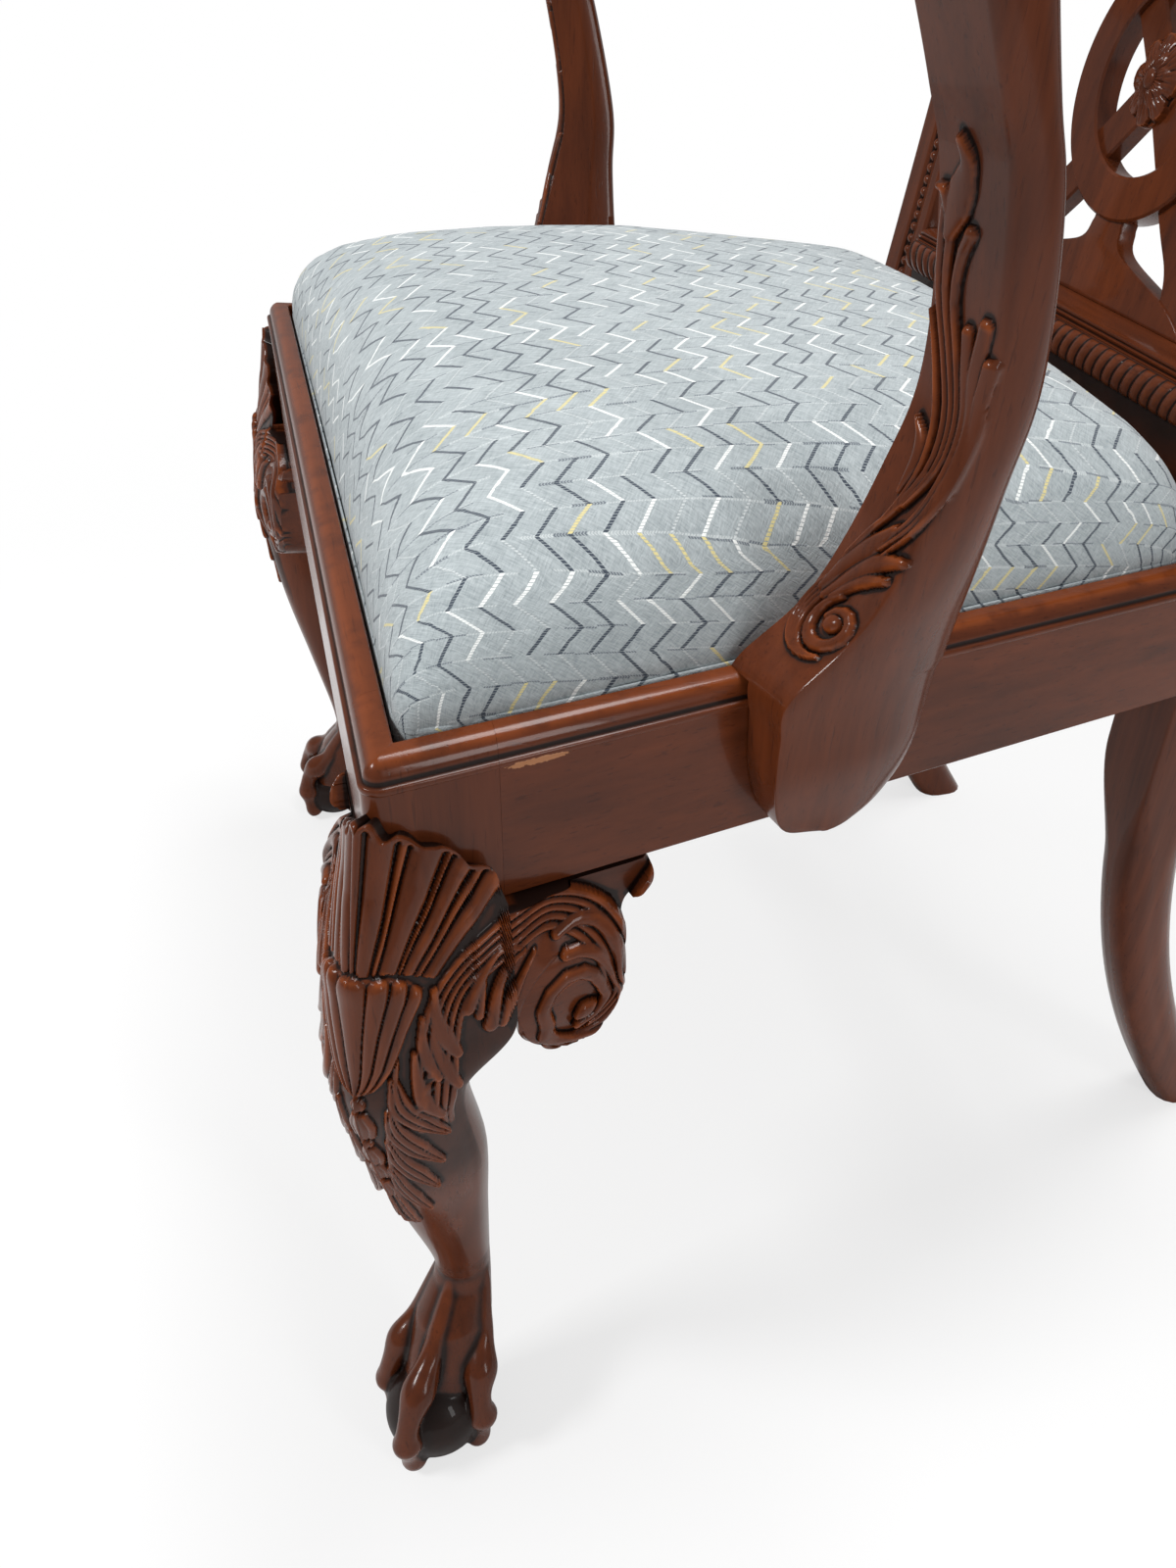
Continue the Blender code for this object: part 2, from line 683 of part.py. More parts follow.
def splat_tenon(rise, grow):
    """The splat's end in the shoe or the crest, or its mortise where it grows."""
    middle = SPLAT_SETBACK + SPLAT_THICKNESS / 2
    half = SPLAT_THICKNESS / 3 + grow
    wide = BASE_WIDTH / 4 + grow
    long = SPLAT_TENON + grow
    return box(up_back, (-wide, middle - half, rise - long), (wide, middle + half, rise + long))


def ribbon(path, width, near, far, closed=False):
    """A flat strap along a path on the back, between two depths."""
    rings = []
    count = len(path)
    for k, point in enumerate(path):
        ahead = path[(k + 1) % count] if closed else path[min(k + 1, count - 1)]
        behind = path[k - 1] if closed else path[max(k - 1, 0)]
        along = (ahead - behind).normalized()
        across = Vector((-along.y, along.x)) * width / 2
        edges = [(point + across, near), (point + across, far), (point - across, far), (point - across, near)]
        rings.append([back(p.x, p.y, depth) for p, depth in edges])
    return closed_loft(rings) if closed else loft(rings)


def splat_base():
    """The flared panel on the shoe, with the stem that carries the ring."""
    low = SPLAT_FOOT
    stem_half = STEM_WIDTH / 2
    edge = spline([(BASE_WIDTH / 2, low), (BASE_WIDTH * 0.46, low + BASE_HEIGHT * 0.4),
                   (BASE_WIDTH * 0.35, low + BASE_HEIGHT),
                   (stem_half * 1.6, low + BASE_HEIGHT + NECK_HEIGHT / 2),
                   (stem_half, low + BASE_HEIGHT + NECK_HEIGHT)], 2)
    right = [*edge, Vector((stem_half, RING_RISE - RING_RADIUS))]
    outline = [*right, *[Vector((-x, rise)) for x, rise in reversed(right)]]
    depths = (SPLAT_SETBACK, SPLAT_SETBACK + SPLAT_THICKNESS)
    return loft([[back(x, rise, depth) for x, rise in outline] for depth in depths])


def strap_path():
    """Middle line of the strap that rises from the base's right, through the rosette, to the left."""
    low, high = SPLAT_FOOT, STILE_LENGTH - GAP
    upper = RING_RISE + RING_RADIUS
    return spline([(-BASE_WIDTH * 0.42, low + STRAP_SET_IN), (-STRAP_SWELL * 0.84, low + STRAP_WIDTH * 1.5),
                   (-RING_RADIUS * 0.81, RING_RISE - RING_RADIUS * 0.94), (0.0, RING_RISE),
                   (RING_RADIUS * 0.90, upper), (STRAP_SWELL, upper + LOOP_HEIGHT * 0.60),
                   (STRAP_SWELL * 0.70, upper + LOOP_HEIGHT * 1.16),
                   (HEAD_WIDTH * 0.18, high - HEAD_HEIGHT * 2.2),
                   (HEAD_WIDTH * 0.22, high - HEAD_HEIGHT * 0.3)], 4)


def splat():
    """Pierced splat: a ring with two straps crossing at its rosette, on a flared base, under a loop."""
    face, rear = SPLAT_SETBACK, SPLAT_SETBACK + SPLAT_THICKNESS
    ring_path = arc((0.0, RING_RISE), RING_RADIUS, 0, 345, 23)
    ring = ribbon(ring_path, RING_WIDTH, face - RING_PROUD, rear + GAP, closed=True)
    straps = []
    for sign, set_in in ((1, STRAP_SET_IN), (-1, 2 * STRAP_SET_IN)):
        path = [Vector((sign * x, rise)) for x, rise in strap_path()]
        straps.append(ribbon(path, STRAP_WIDTH, face + set_in, rear - set_in))
    loop_middle = RING_RISE + RING_RADIUS + LOOP_HEIGHT * 0.53
    loop_path = [Vector((x * LOOP_WIDTH / 2, loop_middle + y * LOOP_HEIGHT / 2))
                 for x, y in arc((0.0, 0.0), 1.0, 0, 345, 23)]
    loop = ribbon(loop_path, LOOP_BAND, face - LOOP_PROUD, rear + 2 * GAP, closed=True)
    high = STILE_LENGTH - GAP
    head = box(up_back, (-HEAD_WIDTH / 2, face + GAP, high - HEAD_HEIGHT), (HEAD_WIDTH / 2, rear - GAP, high))
    petal_depth = ROSETTE_PROUD / 3
    rosette = turned(back(0.0, RING_RISE, face - ROSETTE_PROUD), INTO_BACK,
                     [(0.0, ROSETTE_RADIUS * 0.6), (petal_depth, ROSETTE_RADIUS),
                      (ROSETTE_PROUD + SPLAT_THICKNESS * 0.7, ROSETTE_RADIUS)], 16)
    shoe = box(plain, (-BASE_WIDTH, SEAT_DEPTH, RAIL_TOP),
               (BASE_WIDTH, SEAT_DEPTH + 2 * SHOE_DEPTH, SHOE_TOP + GAP))
    tenons = [splat_tenon(SPLAT_FOOT, 0.0), splat_tenon(STILE_LENGTH, 0.0)]
    return joined(cut(joined(splat_base(), ring, *straps, loop, head, rosette), shoe), *tenons)


# Arms

def support_out(rise):
    """How far the support leans out from the rail's face at a height above the rail."""
    share = min(max(rise / SUPPORT_RISE, 0.0), 1.0)
    return SUPPORT_FLARE * (1 - (1 - share) ** 2.8)


def support_outline():
    """Distance along the rail from the foot's middle, and height above the rail's top."""
    half_foot = SUPPORT_FOOT_LENGTH / 2
    stations = [
        (0.02, 0.0, SUPPORT_FOOT_LENGTH), (0.14, SUPPORT_SWEEP * 0.55, SUPPORT_WAIST * 2),
        (0.35, SUPPORT_SWEEP * 0.85, SUPPORT_WAIST * 1.27), (0.50, SUPPORT_SWEEP, SUPPORT_WAIST),
        (0.74, SUPPORT_SWEEP * 0.45, SUPPORT_NECK), (0.85, SUPPORT_FORWARD * -0.1, SUPPORT_NECK),
        (1.0, -SUPPORT_FORWARD, SUPPORT_TOP_LENGTH),
    ]
    bowl = [(0.86, 0.55), (0.52, 0.86), (0.0, 1.0), (-0.50, 0.90), (-0.88, 0.58), (-1.0, 0.22)]
    front_edge = [(middle - depth / 2, SUPPORT_RISE * share) for share, middle, depth in stations]
    rear_edge = [(middle + depth / 2, SUPPORT_RISE * share) for share, middle, depth in reversed(stations)]
    under = [(half_foot * along, -SUPPORT_FOOT_DROP * down) for along, down in bowl]
    return [*spline(front_edge, 2), *spline([*rear_edge, *under], 2)]


def support_top():
    """Middle of the support's flat top, along the rail and out from its face."""
    return SUPPORT_FROM_FRONT - SUPPORT_FORWARD, support_out(SUPPORT_RISE) + (SUPPORT_PROUD - BAND) / 2


def arm_support():
    rings = []
    for out in (-BAND, SUPPORT_PROUD):
        rings.append([side(SUPPORT_FROM_FRONT + along, out + support_out(rise), RAIL_TOP + rise)
                      for along, rise in support_outline()])
    outer = {rounded(point) for point in rings[1]}
    solid = bevelled(loft(rings), lambda point: rounded(point) in outer, SUPPORT_ROUND, 2)
    rail = box(side, (0.0, -3 * RAIL_THICKNESS, RAIL_TOP - 2 * SUPPORT_FOOT_DROP),
               (SEAT_DEPTH, GAP, RAIL_TOP + GAP))
    bores = [support_screw_bore(sign) for sign in (-1, 1)]
    return cut(solid, rail, arm_dowel(GAP), *bores)


def rounded(point):
    """A point as three numbers that can be looked up again after it went through a mesh."""
    return tuple(round(value, 6) for value in point)


def arm_dowel(grow):
    """The dowel between a support and its arm, or its bore where it grows."""
    along, out = support_top()
    start = side(along, out, ARM_UNDERSIDE - DOWEL_LENGTH / 2 - grow)
    radius = DOWEL_RADIUS + grow
    return turned(start, plain(0, 0, 1), [(0.0, radius), (DOWEL_LENGTH + 2 * grow, radius)])


def arm_rear():
    """Where the arm's middle meets the back post, as x and rise up the back."""
    rise = (ARM_MIDDLE - RAIL_TOP) / math.cos(LEAN)
    return stile_outer(rise) - stile_width(rise) / 2, rise


def arm_path():
    """Middle line of the arm from the hand-hold, over its support, to the back post."""
    along, out = support_top()
    x, rise = arm_rear()
    rear = back(x, rise, ARM_HOUSING)
    over = side(along, out, ARM_MIDDLE)
    hand = side(ARM_FRONT, out, ARM_MIDDLE - HAND_EDGE)
    sweep = plain(ARM_SWEEP, 0, 0)
    return spline([hand, over, over.lerp(rear, 0.36) + sweep, over.lerp(rear, 0.72) + sweep / 2, rear], 4)


def arm_bar():
    """The arm's rounded bar, tapering towards the back post."""
    path = arm_path()
    count = len(path)
    sides = 12
    rings = []
    for k, point in enumerate(path):
        along = path[min(k + 1, count - 1)] - path[max(k - 1, 0)]
        across = plain(along.y, -along.x, 0).normalized()
        half_width = ARM_WIDTH / 2 * (1 - ARM_TAPER * k / (count - 1))
        ring = []
        for n in range(sides):
            wide, high = rounded_square(math.tau * n / sides, 0.7)
            ring.append(point + across * wide * half_width + plain(0, 0, high * ARM_THICKNESS / 2))
        rings.append(ring)
    return loft(rings)


def arm():
    """The arm: a rounded bar from the back post to a scrolled hand-hold."""
    axle = plain(COS, SIN, 0)
    hand_drop = HAND_RADIUS - ARM_THICKNESS / 2 - HAND_EDGE
    edge_radius = HAND_RADIUS - HAND_EDGE
    roll = turned(arm_path()[0] - axle * HAND_WIDTH / 2 - plain(0, 0, hand_drop), axle,
                  [(0.0, edge_radius), (HAND_EDGE, HAND_RADIUS), (HAND_WIDTH - HAND_EDGE, HAND_RADIUS),
                   (HAND_WIDTH, edge_radius)], 16)
    x, rise = arm_rear()
    post = box(up_back, (x - ARM_WIDTH, -GAP, rise - ARM_WIDTH),
               (x + ARM_WIDTH, 2 * ARM_WIDTH, rise + ARM_WIDTH))
    along, out = support_top()
    seat = box(side, (along - ARM_WIDTH / 2, out - ARM_WIDTH, ARM_UNDERSIDE - ARM_THICKNESS),
               (along + ARM_WIDTH / 2, out + ARM_WIDTH, ARM_UNDERSIDE))
    return cut(joined(arm_bar(), roll), post, seat, arm_dowel(GAP), arm_screw_bore())


# Screws

def screw(head, direction, grip):
    """A wood screw: head at the given point, then a shank of this length."""
    profile = [(0.0, SCREW_HEAD_RADIUS), (SCREW_HEAD_LENGTH, SCREW_HEAD_RADIUS),
               (SCREW_HEAD_LENGTH, SCREW_RADIUS), (SCREW_HEAD_LENGTH + grip, SCREW_RADIUS)]
    return turned(head, direction, profile)


def screw_bore(head, direction, grip, sunk):
    """The hole for a screw: counterbore back from the head's seat, then the shank's bore."""
    wide, narrow = SCREW_HEAD_RADIUS + 2 * GAP, SCREW_RADIUS + GAP
    shoulder = SCREW_HEAD_LENGTH + GAP
    profile = [(-sunk, wide), (shoulder, wide), (shoulder, narrow), (shoulder + grip, narrow)]
    return turned(head, direction, profile)


def arm_screw_place():
    """Head, direction and grip of the screw through the back post into the arm."""
    x, rise = arm_rear()
    depth = STILE_TOP_DEPTH - COUNTERBORE + SCREW_HEAD_LENGTH
    return back(x, rise, depth), -INTO_BACK, depth - SCREW_HEAD_LENGTH + SCREW_BITE


def arm_screw_bore():
    head, direction, grip = arm_screw_place()
    return screw_bore(head, direction, grip, 3 * COUNTERBORE)


def support_screw_place(sign):
    """Head, direction and grip of a screw through the side rail into the arm support."""
    along = SUPPORT_FROM_FRONT + sign * SUPPORT_SCREW_SPREAD / 2
    depth = RAIL_THICKNESS - COUNTERBORE
    head = side(along, -depth, (RAIL_BOTTOM + LEDGE) / 2)
    return head, plain(COS, SIN, 0), depth - SCREW_HEAD_LENGTH + SCREW_BITE


def support_screw_bore(sign):
    head, direction, grip = support_screw_place(sign)
    return screw_bore(head, direction, grip, 3 * COUNTERBORE)


# Corner blocks

def front_corner_plan():
    """Plan of the left front block: along the front rail, round the post, along the side rail."""
    inner = RAIL_THICKNESS + GAP
    edge = front_joint(inner) - 2 * GAP
    post_corner = front(POST, 0, 0) + plain(-SIN, COS, 0) * POST
    start = side_start(-inner)
    return [plain(edge - CORNER_LEG, inner, 0), plain(edge, inner, 0),
            post_corner + plain(-2 * GAP, 2 * GAP, 0), side(start + 2 * GAP, -inner, 0),
            side(start + CORNER_LEG, -inner, 0)]


def rear_corner_plan():
    """Plan of the left rear block: along the side rail, the post, then the back rail."""
    inner = RAIL_THICKNESS + GAP
    end = side_end(-inner) - GAP
    post_x = BACK_INNER + GAP
    rail_face = SEAT_DEPTH - BACK_LEDGE - GAP
    return [side(end - CORNER_LEG, -inner, 0), side(end, -inner, 0), plain(post_x, SEAT_DEPTH - GAP, 0),
            plain(post_x, rail_face, 0), plain(BACK_INNER - CORNER_LEG, rail_face, 0)]


def corner_screw_places(plan):
    """Head, direction and grip of the block's two screws, each square to the rail that it enters."""
    height = Vector((0, 0, (RAIL_BOTTOM + LEDGE) / 2))
    places = []
    for end, corner in ((plan[0], plan[1]), (plan[-1], plan[-2])):
        along = (corner - end).normalized()
        other = plan[-1] if end is plan[0] else plan[0]
        out = plain(along.y, -along.x, 0)
        out = out if out.dot(end - other) > 0 else -out
        seat = end + along * CORNER_SCREW_INSET - out * (CORNER_GRIP + GAP)
        places.append((seat - out * SCREW_HEAD_LENGTH + height, out, CORNER_GRIP + SCREW_BITE))
    return places


def corner_block(plan):
    """A glued and screwed block in a corner of the seat frame."""
    levels = (RAIL_BOTTOM + CORNER_RAISE, LEDGE - CORNER_DROP)
    solid = loft([[point + Vector((0, 0, z)) for point in plan] for z in levels])
    bores = [screw_bore(*place, 4 * COUNTERBORE) for place in corner_screw_places(plan)]
    return cut(solid, *bores)


# Drop-in seat

def seat_outline(inset):
    """Plan of the seat: a tapered shape with round corners and sides drawn in a little."""
    grow = SEAT_CLEARANCE + inset
    corners = []
    for sign, y in ((1, BAND + grow), (1, SEAT_DEPTH - grow), (-1, SEAT_DEPTH - grow), (-1, BAND + grow)):
        corners.append(Vector((sign * (HALF_FRONT - (BAND + grow) / COS - y * TAN), y)))
    trim = max(CUSHION_CORNER - inset, CUSHION_CORNER / 5)
    points = []
    for k, corner in enumerate(corners):
        following = corners[(k + 1) % len(corners)]
        before, after = (corners[k - 1] - corner).normalized(), (following - corner).normalized()
        start, end = corner + before * trim, corner + after * trim
        handles = start.lerp(corner, 0.45), end.lerp(corner, 0.45)
        points += [start, handles[0].lerp(handles[1], 1 / 3), handles[0].lerp(handles[1], 2 / 3), end]
        far = following - after * trim
        inward = Vector((-after.y, after.x))
        for step in range(1, 6):
            share = step / 6
            points.append(end.lerp(far, share) + inward * CUSHION_DRAW_IN * math.sin(math.pi * share))
    return points


def crowned(inset, low):
    """The crowned seat's solid this far inside its cover's outer face, from its lower edge up."""
    solid = loft(crown_rings(inset, low))
    bmesh.ops.triangulate(solid, faces=solid.faces, quad_method="FIXED")
    return solid


def crown_rings(inset, low):
    """Rings of the crowned seat: its straight edge, then rings drawn in and raised towards its middle."""
    swell = CUSHION_CROWN - RAIL_TOP
    stations = [(0.0, 0.05), (0.01, 0.20), (0.04, 0.36), (0.10, 0.56), (0.21, 0.76), (0.41, 0.91),
                (0.70, 0.975), (1.0, 0.995)]
    outline = seat_outline(inset)
    centre = sum(outline, Vector((0, 0))) / len(outline)
    half = Vector((max(point.x for point in outline), max(point.y for point in outline) - centre.y))
    rings = [[plain(point.x, point.y, low) for point in outline]]
    for inward, share in stations:
        shrink = 1 - inward * CUSHION_SHOULDER / (SEAT_DEPTH / 2)
        ring = []
        for point in outline:
            x, y = (point - centre) * shrink
            corner = abs(x * y / (half.x * half.y)) ** 1.5
            rise = swell * share * (1 - CUSHION_CORNER_FALL * corner * share) - inset
            ring.append(plain(centre.x + x, centre.y + y, RAIL_TOP + rise))
        rings.append(ring)
    return rings


def seat_foam(low):
    return crowned(COVER_THICKNESS + GAP, low)


def seat_cover(low):
    """A thin skin over the foam and round the board's edge, open below."""
    return cut(crowned(0.0, low), crowned(COVER_THICKNESS, low - BOARD_THICKNESS))


def flat_sheet(inset, low, high):
    """A flat sheet of the seat's plan between two heights."""
    return loft([[plain(x, y, z) for x, y in seat_outline(inset)] for z in (low, high)])


# The whole chair

def frame_pieces(parent):
    add_pair("front_leg", front_leg(), MAHOGANY, parent)
    knee_blocks(parent)
    add("front_rail", cut(front_rail(), *corner_cutters(True)), MAHOGANY, parent)
    rail_bores = [support_screw_bore(sign) for sign in (-1, 1)]
    add_pair("side_rail", cut(side_rail(), *rail_bores, *corner_cutters(False)), MAHOGANY, parent)
    add("back_rail", cut(back_rail(), *corner_cutters(True)), SECONDARY_WOOD, parent)
    add_pair("back_post", finished_back_post(), MAHOGANY, parent)
    add("crest_rail", crest_rail(), MAHOGANY, parent)
    add("splat_shoe", splat_shoe(), MAHOGANY, parent)
    add("splat", splat(), MAHOGANY, parent)
    add_pair("arm_support", arm_support(), MAHOGANY, parent)
    add_pair("arm", arm(), MAHOGANY, parent)


def corner_cutters(both_sides):
    """Bores of every corner-block screw, on the left only or on both sides."""
    cutters = []
    for plan in (front_corner_plan(), rear_corner_plan()):
        for place in corner_screw_places(plan):
            cutters.append(screw_bore(*place, 0.0))
            if both_sides:
                cutters.append(mirrored(cutters[-1]))
    return cutters


def fixings(parent):
    for end, plan, rails in (("front", front_corner_plan(), ("front", "side")),
                             ("rear", rear_corner_plan(), ("side", "back"))):
        add_pair(f"corner_block_{end}", corner_block(plan), SECONDARY_WOOD, parent)
        for rail, place in zip(rails, corner_screw_places(plan)):
            add_pair(f"corner_screw_{end}_to_{rail}_rail", screw(*place), STEEL, parent)
    for name, sign in (("front", -1), ("rear", 1)):
        add_pair(f"support_screw_{name}", screw(*support_screw_place(sign)), STEEL, parent)
    add_pair("arm_dowel", arm_dowel(0.0), SECONDARY_WOOD, parent)
    add_pair("arm_screw", screw(*arm_screw_place()), STEEL, parent)


def drop_in_seat(parent):
    dust_low = LEDGE + GAP
    board_low = dust_low + DUST_COVER_THICKNESS + GAP
    board_high = board_low + BOARD_THICKNESS
    skin = COVER_THICKNESS + GAP
    add("dust_cover", flat_sheet(DUST_COVER_INSET, dust_low, board_low - GAP), BLACK_CLOTH, parent)
    add("seat_board", flat_sheet(skin, board_low, board_high), PLYWOOD, parent)
    add("seat_foam", seat_foam(board_high + GAP), FOAM, parent)
    add("seat_cover", seat_cover(board_low), WOVEN_CLOTH, parent)


def centre_on_origin(root):
    """Moves the chair along Y so that its box is centred on the origin."""
    meshes = [obj.data for obj in bpy.data.objects if obj.type == "MESH"]
    depths = [vert.co.y for mesh in meshes for vert in mesh.vertices]
    root.location.y = -(min(depths) + max(depths)) / 2
    print(f"chair moved along Y by {root.location.y:.6f} m")


def main():
    for obj in list(bpy.data.objects):
        bpy.data.objects.remove(obj)
    root = add_empty("chippendale_armchair")
    frame_pieces(root)
    fixings(root)
    seat = add_empty("drop_in_seat", root)
    drop_in_seat(seat)
    bpy.context.view_layer.update()
    centre_on_origin(root)


main()
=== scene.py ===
import math

import bmesh
import bpy
import numpy as np
from mathutils import Matrix, Vector
from mathutils.bvhtree import BVHTree
from mathutils.geometry import convex_hull_2d


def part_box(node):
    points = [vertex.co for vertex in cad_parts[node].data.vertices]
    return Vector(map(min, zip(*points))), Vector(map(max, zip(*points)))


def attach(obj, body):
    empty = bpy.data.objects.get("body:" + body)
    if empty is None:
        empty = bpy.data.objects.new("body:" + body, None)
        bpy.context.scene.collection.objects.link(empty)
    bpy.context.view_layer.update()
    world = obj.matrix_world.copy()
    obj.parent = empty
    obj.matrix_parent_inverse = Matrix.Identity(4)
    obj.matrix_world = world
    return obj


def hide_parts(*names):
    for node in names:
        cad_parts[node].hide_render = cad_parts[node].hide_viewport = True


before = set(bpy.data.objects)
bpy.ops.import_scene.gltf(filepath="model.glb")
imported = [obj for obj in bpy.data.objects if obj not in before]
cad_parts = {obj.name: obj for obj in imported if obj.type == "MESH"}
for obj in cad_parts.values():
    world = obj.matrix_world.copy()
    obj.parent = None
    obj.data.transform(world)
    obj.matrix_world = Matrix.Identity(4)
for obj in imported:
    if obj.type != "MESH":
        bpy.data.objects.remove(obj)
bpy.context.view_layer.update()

# The chair's own measures, in metres: the ones its carved surfaces follow

SPLAY = math.radians(11)
COS, SIN, TAN = math.cos(SPLAY), math.sin(SPLAY), math.tan(SPLAY)
LEAN = math.radians(10.5)
FRONT_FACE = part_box("front_rail")[0].y
HALF_FRONT = 0.300
SEAT_DEPTH = 0.430
HALF_REAR = HALF_FRONT - SEAT_DEPTH * TAN
RAIL_TOP = 0.440
RAIL_BOTTOM = 0.364
RAIL_THICKNESS = 0.030
BAND = 0.014
LEDGE = 0.424
POST = 0.052
JOINT_GAP = 0.00005
ARM_UNDERSIDE = 0.698
SUPPORT_RISE = ARM_UNDERSIDE - RAIL_TOP
BALL_RADIUS = 0.0265
UP_BACK = Vector((0.0, math.sin(LEAN), math.cos(LEAN)))
INTO_BACK = Vector((0.0, math.cos(LEAN), -math.sin(LEAN)))
CORNER = np.array([HALF_FRONT, FRONT_FACE])
BISECTOR = np.array([COS, SIN - 1.0]) / math.hypot(COS, SIN - 1.0)
HALF_TURN = math.acos(float(BISECTOR @ np.array([COS, SIN])))
MM = 0.001
SHARP_EDGE = math.radians(35)
WHITE = (1.0, 1.0, 1.0, 1.0)


# Places on the chair, for arrays of distances

def beside(along, out, z):
    """Places by the left side rail: distance from the front corner, distance out of its face, height."""
    along, out, z = np.broadcast_arrays(along, out, z)
    return np.stack([HALF_FRONT - SIN * along + COS * out, FRONT_FACE + COS * along + SIN * out, z], axis=-1)


def mirrored_at_corner(places):
    """Places by the left side rail, carried over the front corner's bisector to the front rail."""
    flat = places[..., :2] - CORNER
    along = flat @ BISECTOR
    turned = 2 * along[..., None] * BISECTOR - flat
    return np.concatenate([turned + CORNER, places[..., 2:]], axis=-1)


def turned_bisector(turn):
    """The front corner's bisector turned about the vertical, as a flat direction."""
    return np.array([BISECTOR[0] * math.cos(turn) - BISECTOR[1] * math.sin(turn),
                     BISECTOR[0] * math.sin(turn) + BISECTOR[1] * math.cos(turn)])


def on_back(x, rise, depth):
    """Places on the leaning back: distance from its middle, distance up it, depth behind its face."""
    x, rise, depth = np.broadcast_arrays(x, rise, depth)
    y = FRONT_FACE + SEAT_DEPTH + UP_BACK.y * rise + INTO_BACK.y * depth
    return np.stack([x, y, RAIL_TOP + UP_BACK.z * rise + INTO_BACK.z * depth], axis=-1)


# Curves and meshes

def through(points, count):
    """Evenly spread places on a smooth curve through these points."""
    knots = np.asarray(points, float)
    ends = np.vstack([2 * knots[0] - knots[1], knots, 2 * knots[-1] - knots[-2]])
    share = np.linspace(0, len(knots) - 1 - 1e-9, 12 * len(knots))
    step = share.astype(int)
    t = (share - step)[:, None]
    before, start, end, after = (ends[step + k] for k in range(4))
    bend = before - 2.5 * start + 2 * end - 0.5 * after
    twist = 1.5 * (start - end) + 0.5 * (after - before)
    curve = start + t / 2 * (end - before) + t ** 2 * bend + t ** 3 * twist
    lengths = np.concatenate([[0.0], np.cumsum(np.linalg.norm(np.diff(curve, axis=0), axis=1))])
    spread = np.linspace(0, lengths[-1], count)
    return np.column_stack([np.interp(spread, lengths, axis) for axis in curve.T])


def between(at, stations):
    """Values at these places on a smooth curve through (place, value) stations."""
    curve = through(stations, 200)
    return np.interp(at, curve[:, 0], curve[:, 1])


def eased(value, low, high):
    """0 below low, 1 above high, and a smooth ramp between them."""
    share = np.clip((value - low) / (high - low), 0, 1)
    return share * share * (3 - 2 * share)


def domed(offset):
    """A half-round profile: 1 at offset 0, and 0 from offset 1 on."""
    return np.sqrt(np.clip(1 - offset ** 2, 0, 1))


def hump(value, middle, width):
    """A soft rise to 1 round a middle."""
    return np.exp(-((value - middle) / width) ** 2)


def cubic(t, corners):
    """Places on a curve that leaves its first corner towards the second and comes in from the third."""
    weights = (1 - t) ** 3, 3 * t * (1 - t) ** 2, 3 * t ** 2 * (1 - t), t ** 3
    return sum(weight * corner for weight, corner in zip(weights, corners))


def square_to(places):
    """Directions square to a grid of places."""
    normal = np.cross(np.gradient(places, axis=1), np.gradient(places, axis=0))
    return normal / np.maximum(np.linalg.norm(normal, axis=-1), 1e-12)[..., None]


def sheet(grid, hollow=None):
    """A sheet of quads on an array of places, one row after another, with hollows marked where given."""
    rows, columns = grid.shape[0] - 1, grid.shape[1] - 1
    mesh = bmesh.new()
    bmesh.ops.create_grid(mesh, x_segments=columns, y_segments=rows, size=0.5)
    marks = None if hollow is None else mesh.verts.layers.float.new("hollow")
    for vert in mesh.verts:
        row, column = round((vert.co.y + 0.5) * rows), round((vert.co.x + 0.5) * columns)
        vert.co = grid[row, column]
        if marks is not None:
            vert[marks] = hollow[row, column]
    return mesh


def closed(mesh):
    """The mesh with its seams merged, its ends filled and its faces turned outwards."""
    gap = 1e-6
    bmesh.ops.remove_doubles(mesh, verts=mesh.verts, dist=gap)
    bmesh.ops.dissolve_degenerate(mesh, edges=mesh.edges, dist=gap)
    bmesh.ops.holes_fill(mesh, edges=[edge for edge in mesh.edges if edge.is_boundary], sides=0)
    bmesh.ops.recalc_face_normals(mesh, faces=mesh.faces)
    return mesh


def extruded(profile, far):
    """A bar from a flat outline to a far one of the same count."""
    mesh = bmesh.new()
    face = mesh.faces.new([mesh.verts.new(point) for point in profile])
    grown = bmesh.ops.extrude_face_region(mesh, geom=[face])["geom"]
    ends = [item for item in grown if isinstance(item, bmesh.types.BMVert)]
    for vert in ends:
        nearest = min(range(len(profile)), key=lambda k: (Vector(profile[k]) - vert.co).length)
        vert.co = far[nearest]
    bmesh.ops.recalc_face_normals(mesh, faces=mesh.faces)
    return mesh


def wrapped(grid):
    """A grid with its first column again after its last."""
    return np.concatenate([grid, grid[:, :1]], axis=1)


def rolled(rings, hollow=None):
    """A closed tube through rings of places, with hollows marked where given."""
    return closed(sheet(wrapped(rings), None if hollow is None else wrapped(hollow)))


def tube(path, radii, sides):
    """A round tube along a path with a radius at each point, ended by small caps."""
    ahead = np.gradient(path, axis=0)
    ahead /= np.linalg.norm(ahead, axis=1)[:, None]
    never_along_it = [0.31, 0.52, 0.79]
    first = np.cross(ahead, never_along_it)
    first /= np.linalg.norm(first, axis=1)[:, None]
    second = np.cross(ahead, first)
    turns = np.linspace(0, math.tau, sides, endpoint=False)
    around = np.cos(turns)[:, None] * first[:, None] + np.sin(turns)[:, None] * second[:, None]
    return rolled(path[:, None] + around * radii[:, None, None])


def joined(*meshes):
    """Several meshes in one, overlapping as they are."""
    whole = bmesh.new()
    for mesh in meshes:
        part = bpy.data.meshes.new("joining")
        mesh.to_mesh(part)
        whole.from_mesh(part)
        bpy.data.meshes.remove(part)
    return whole


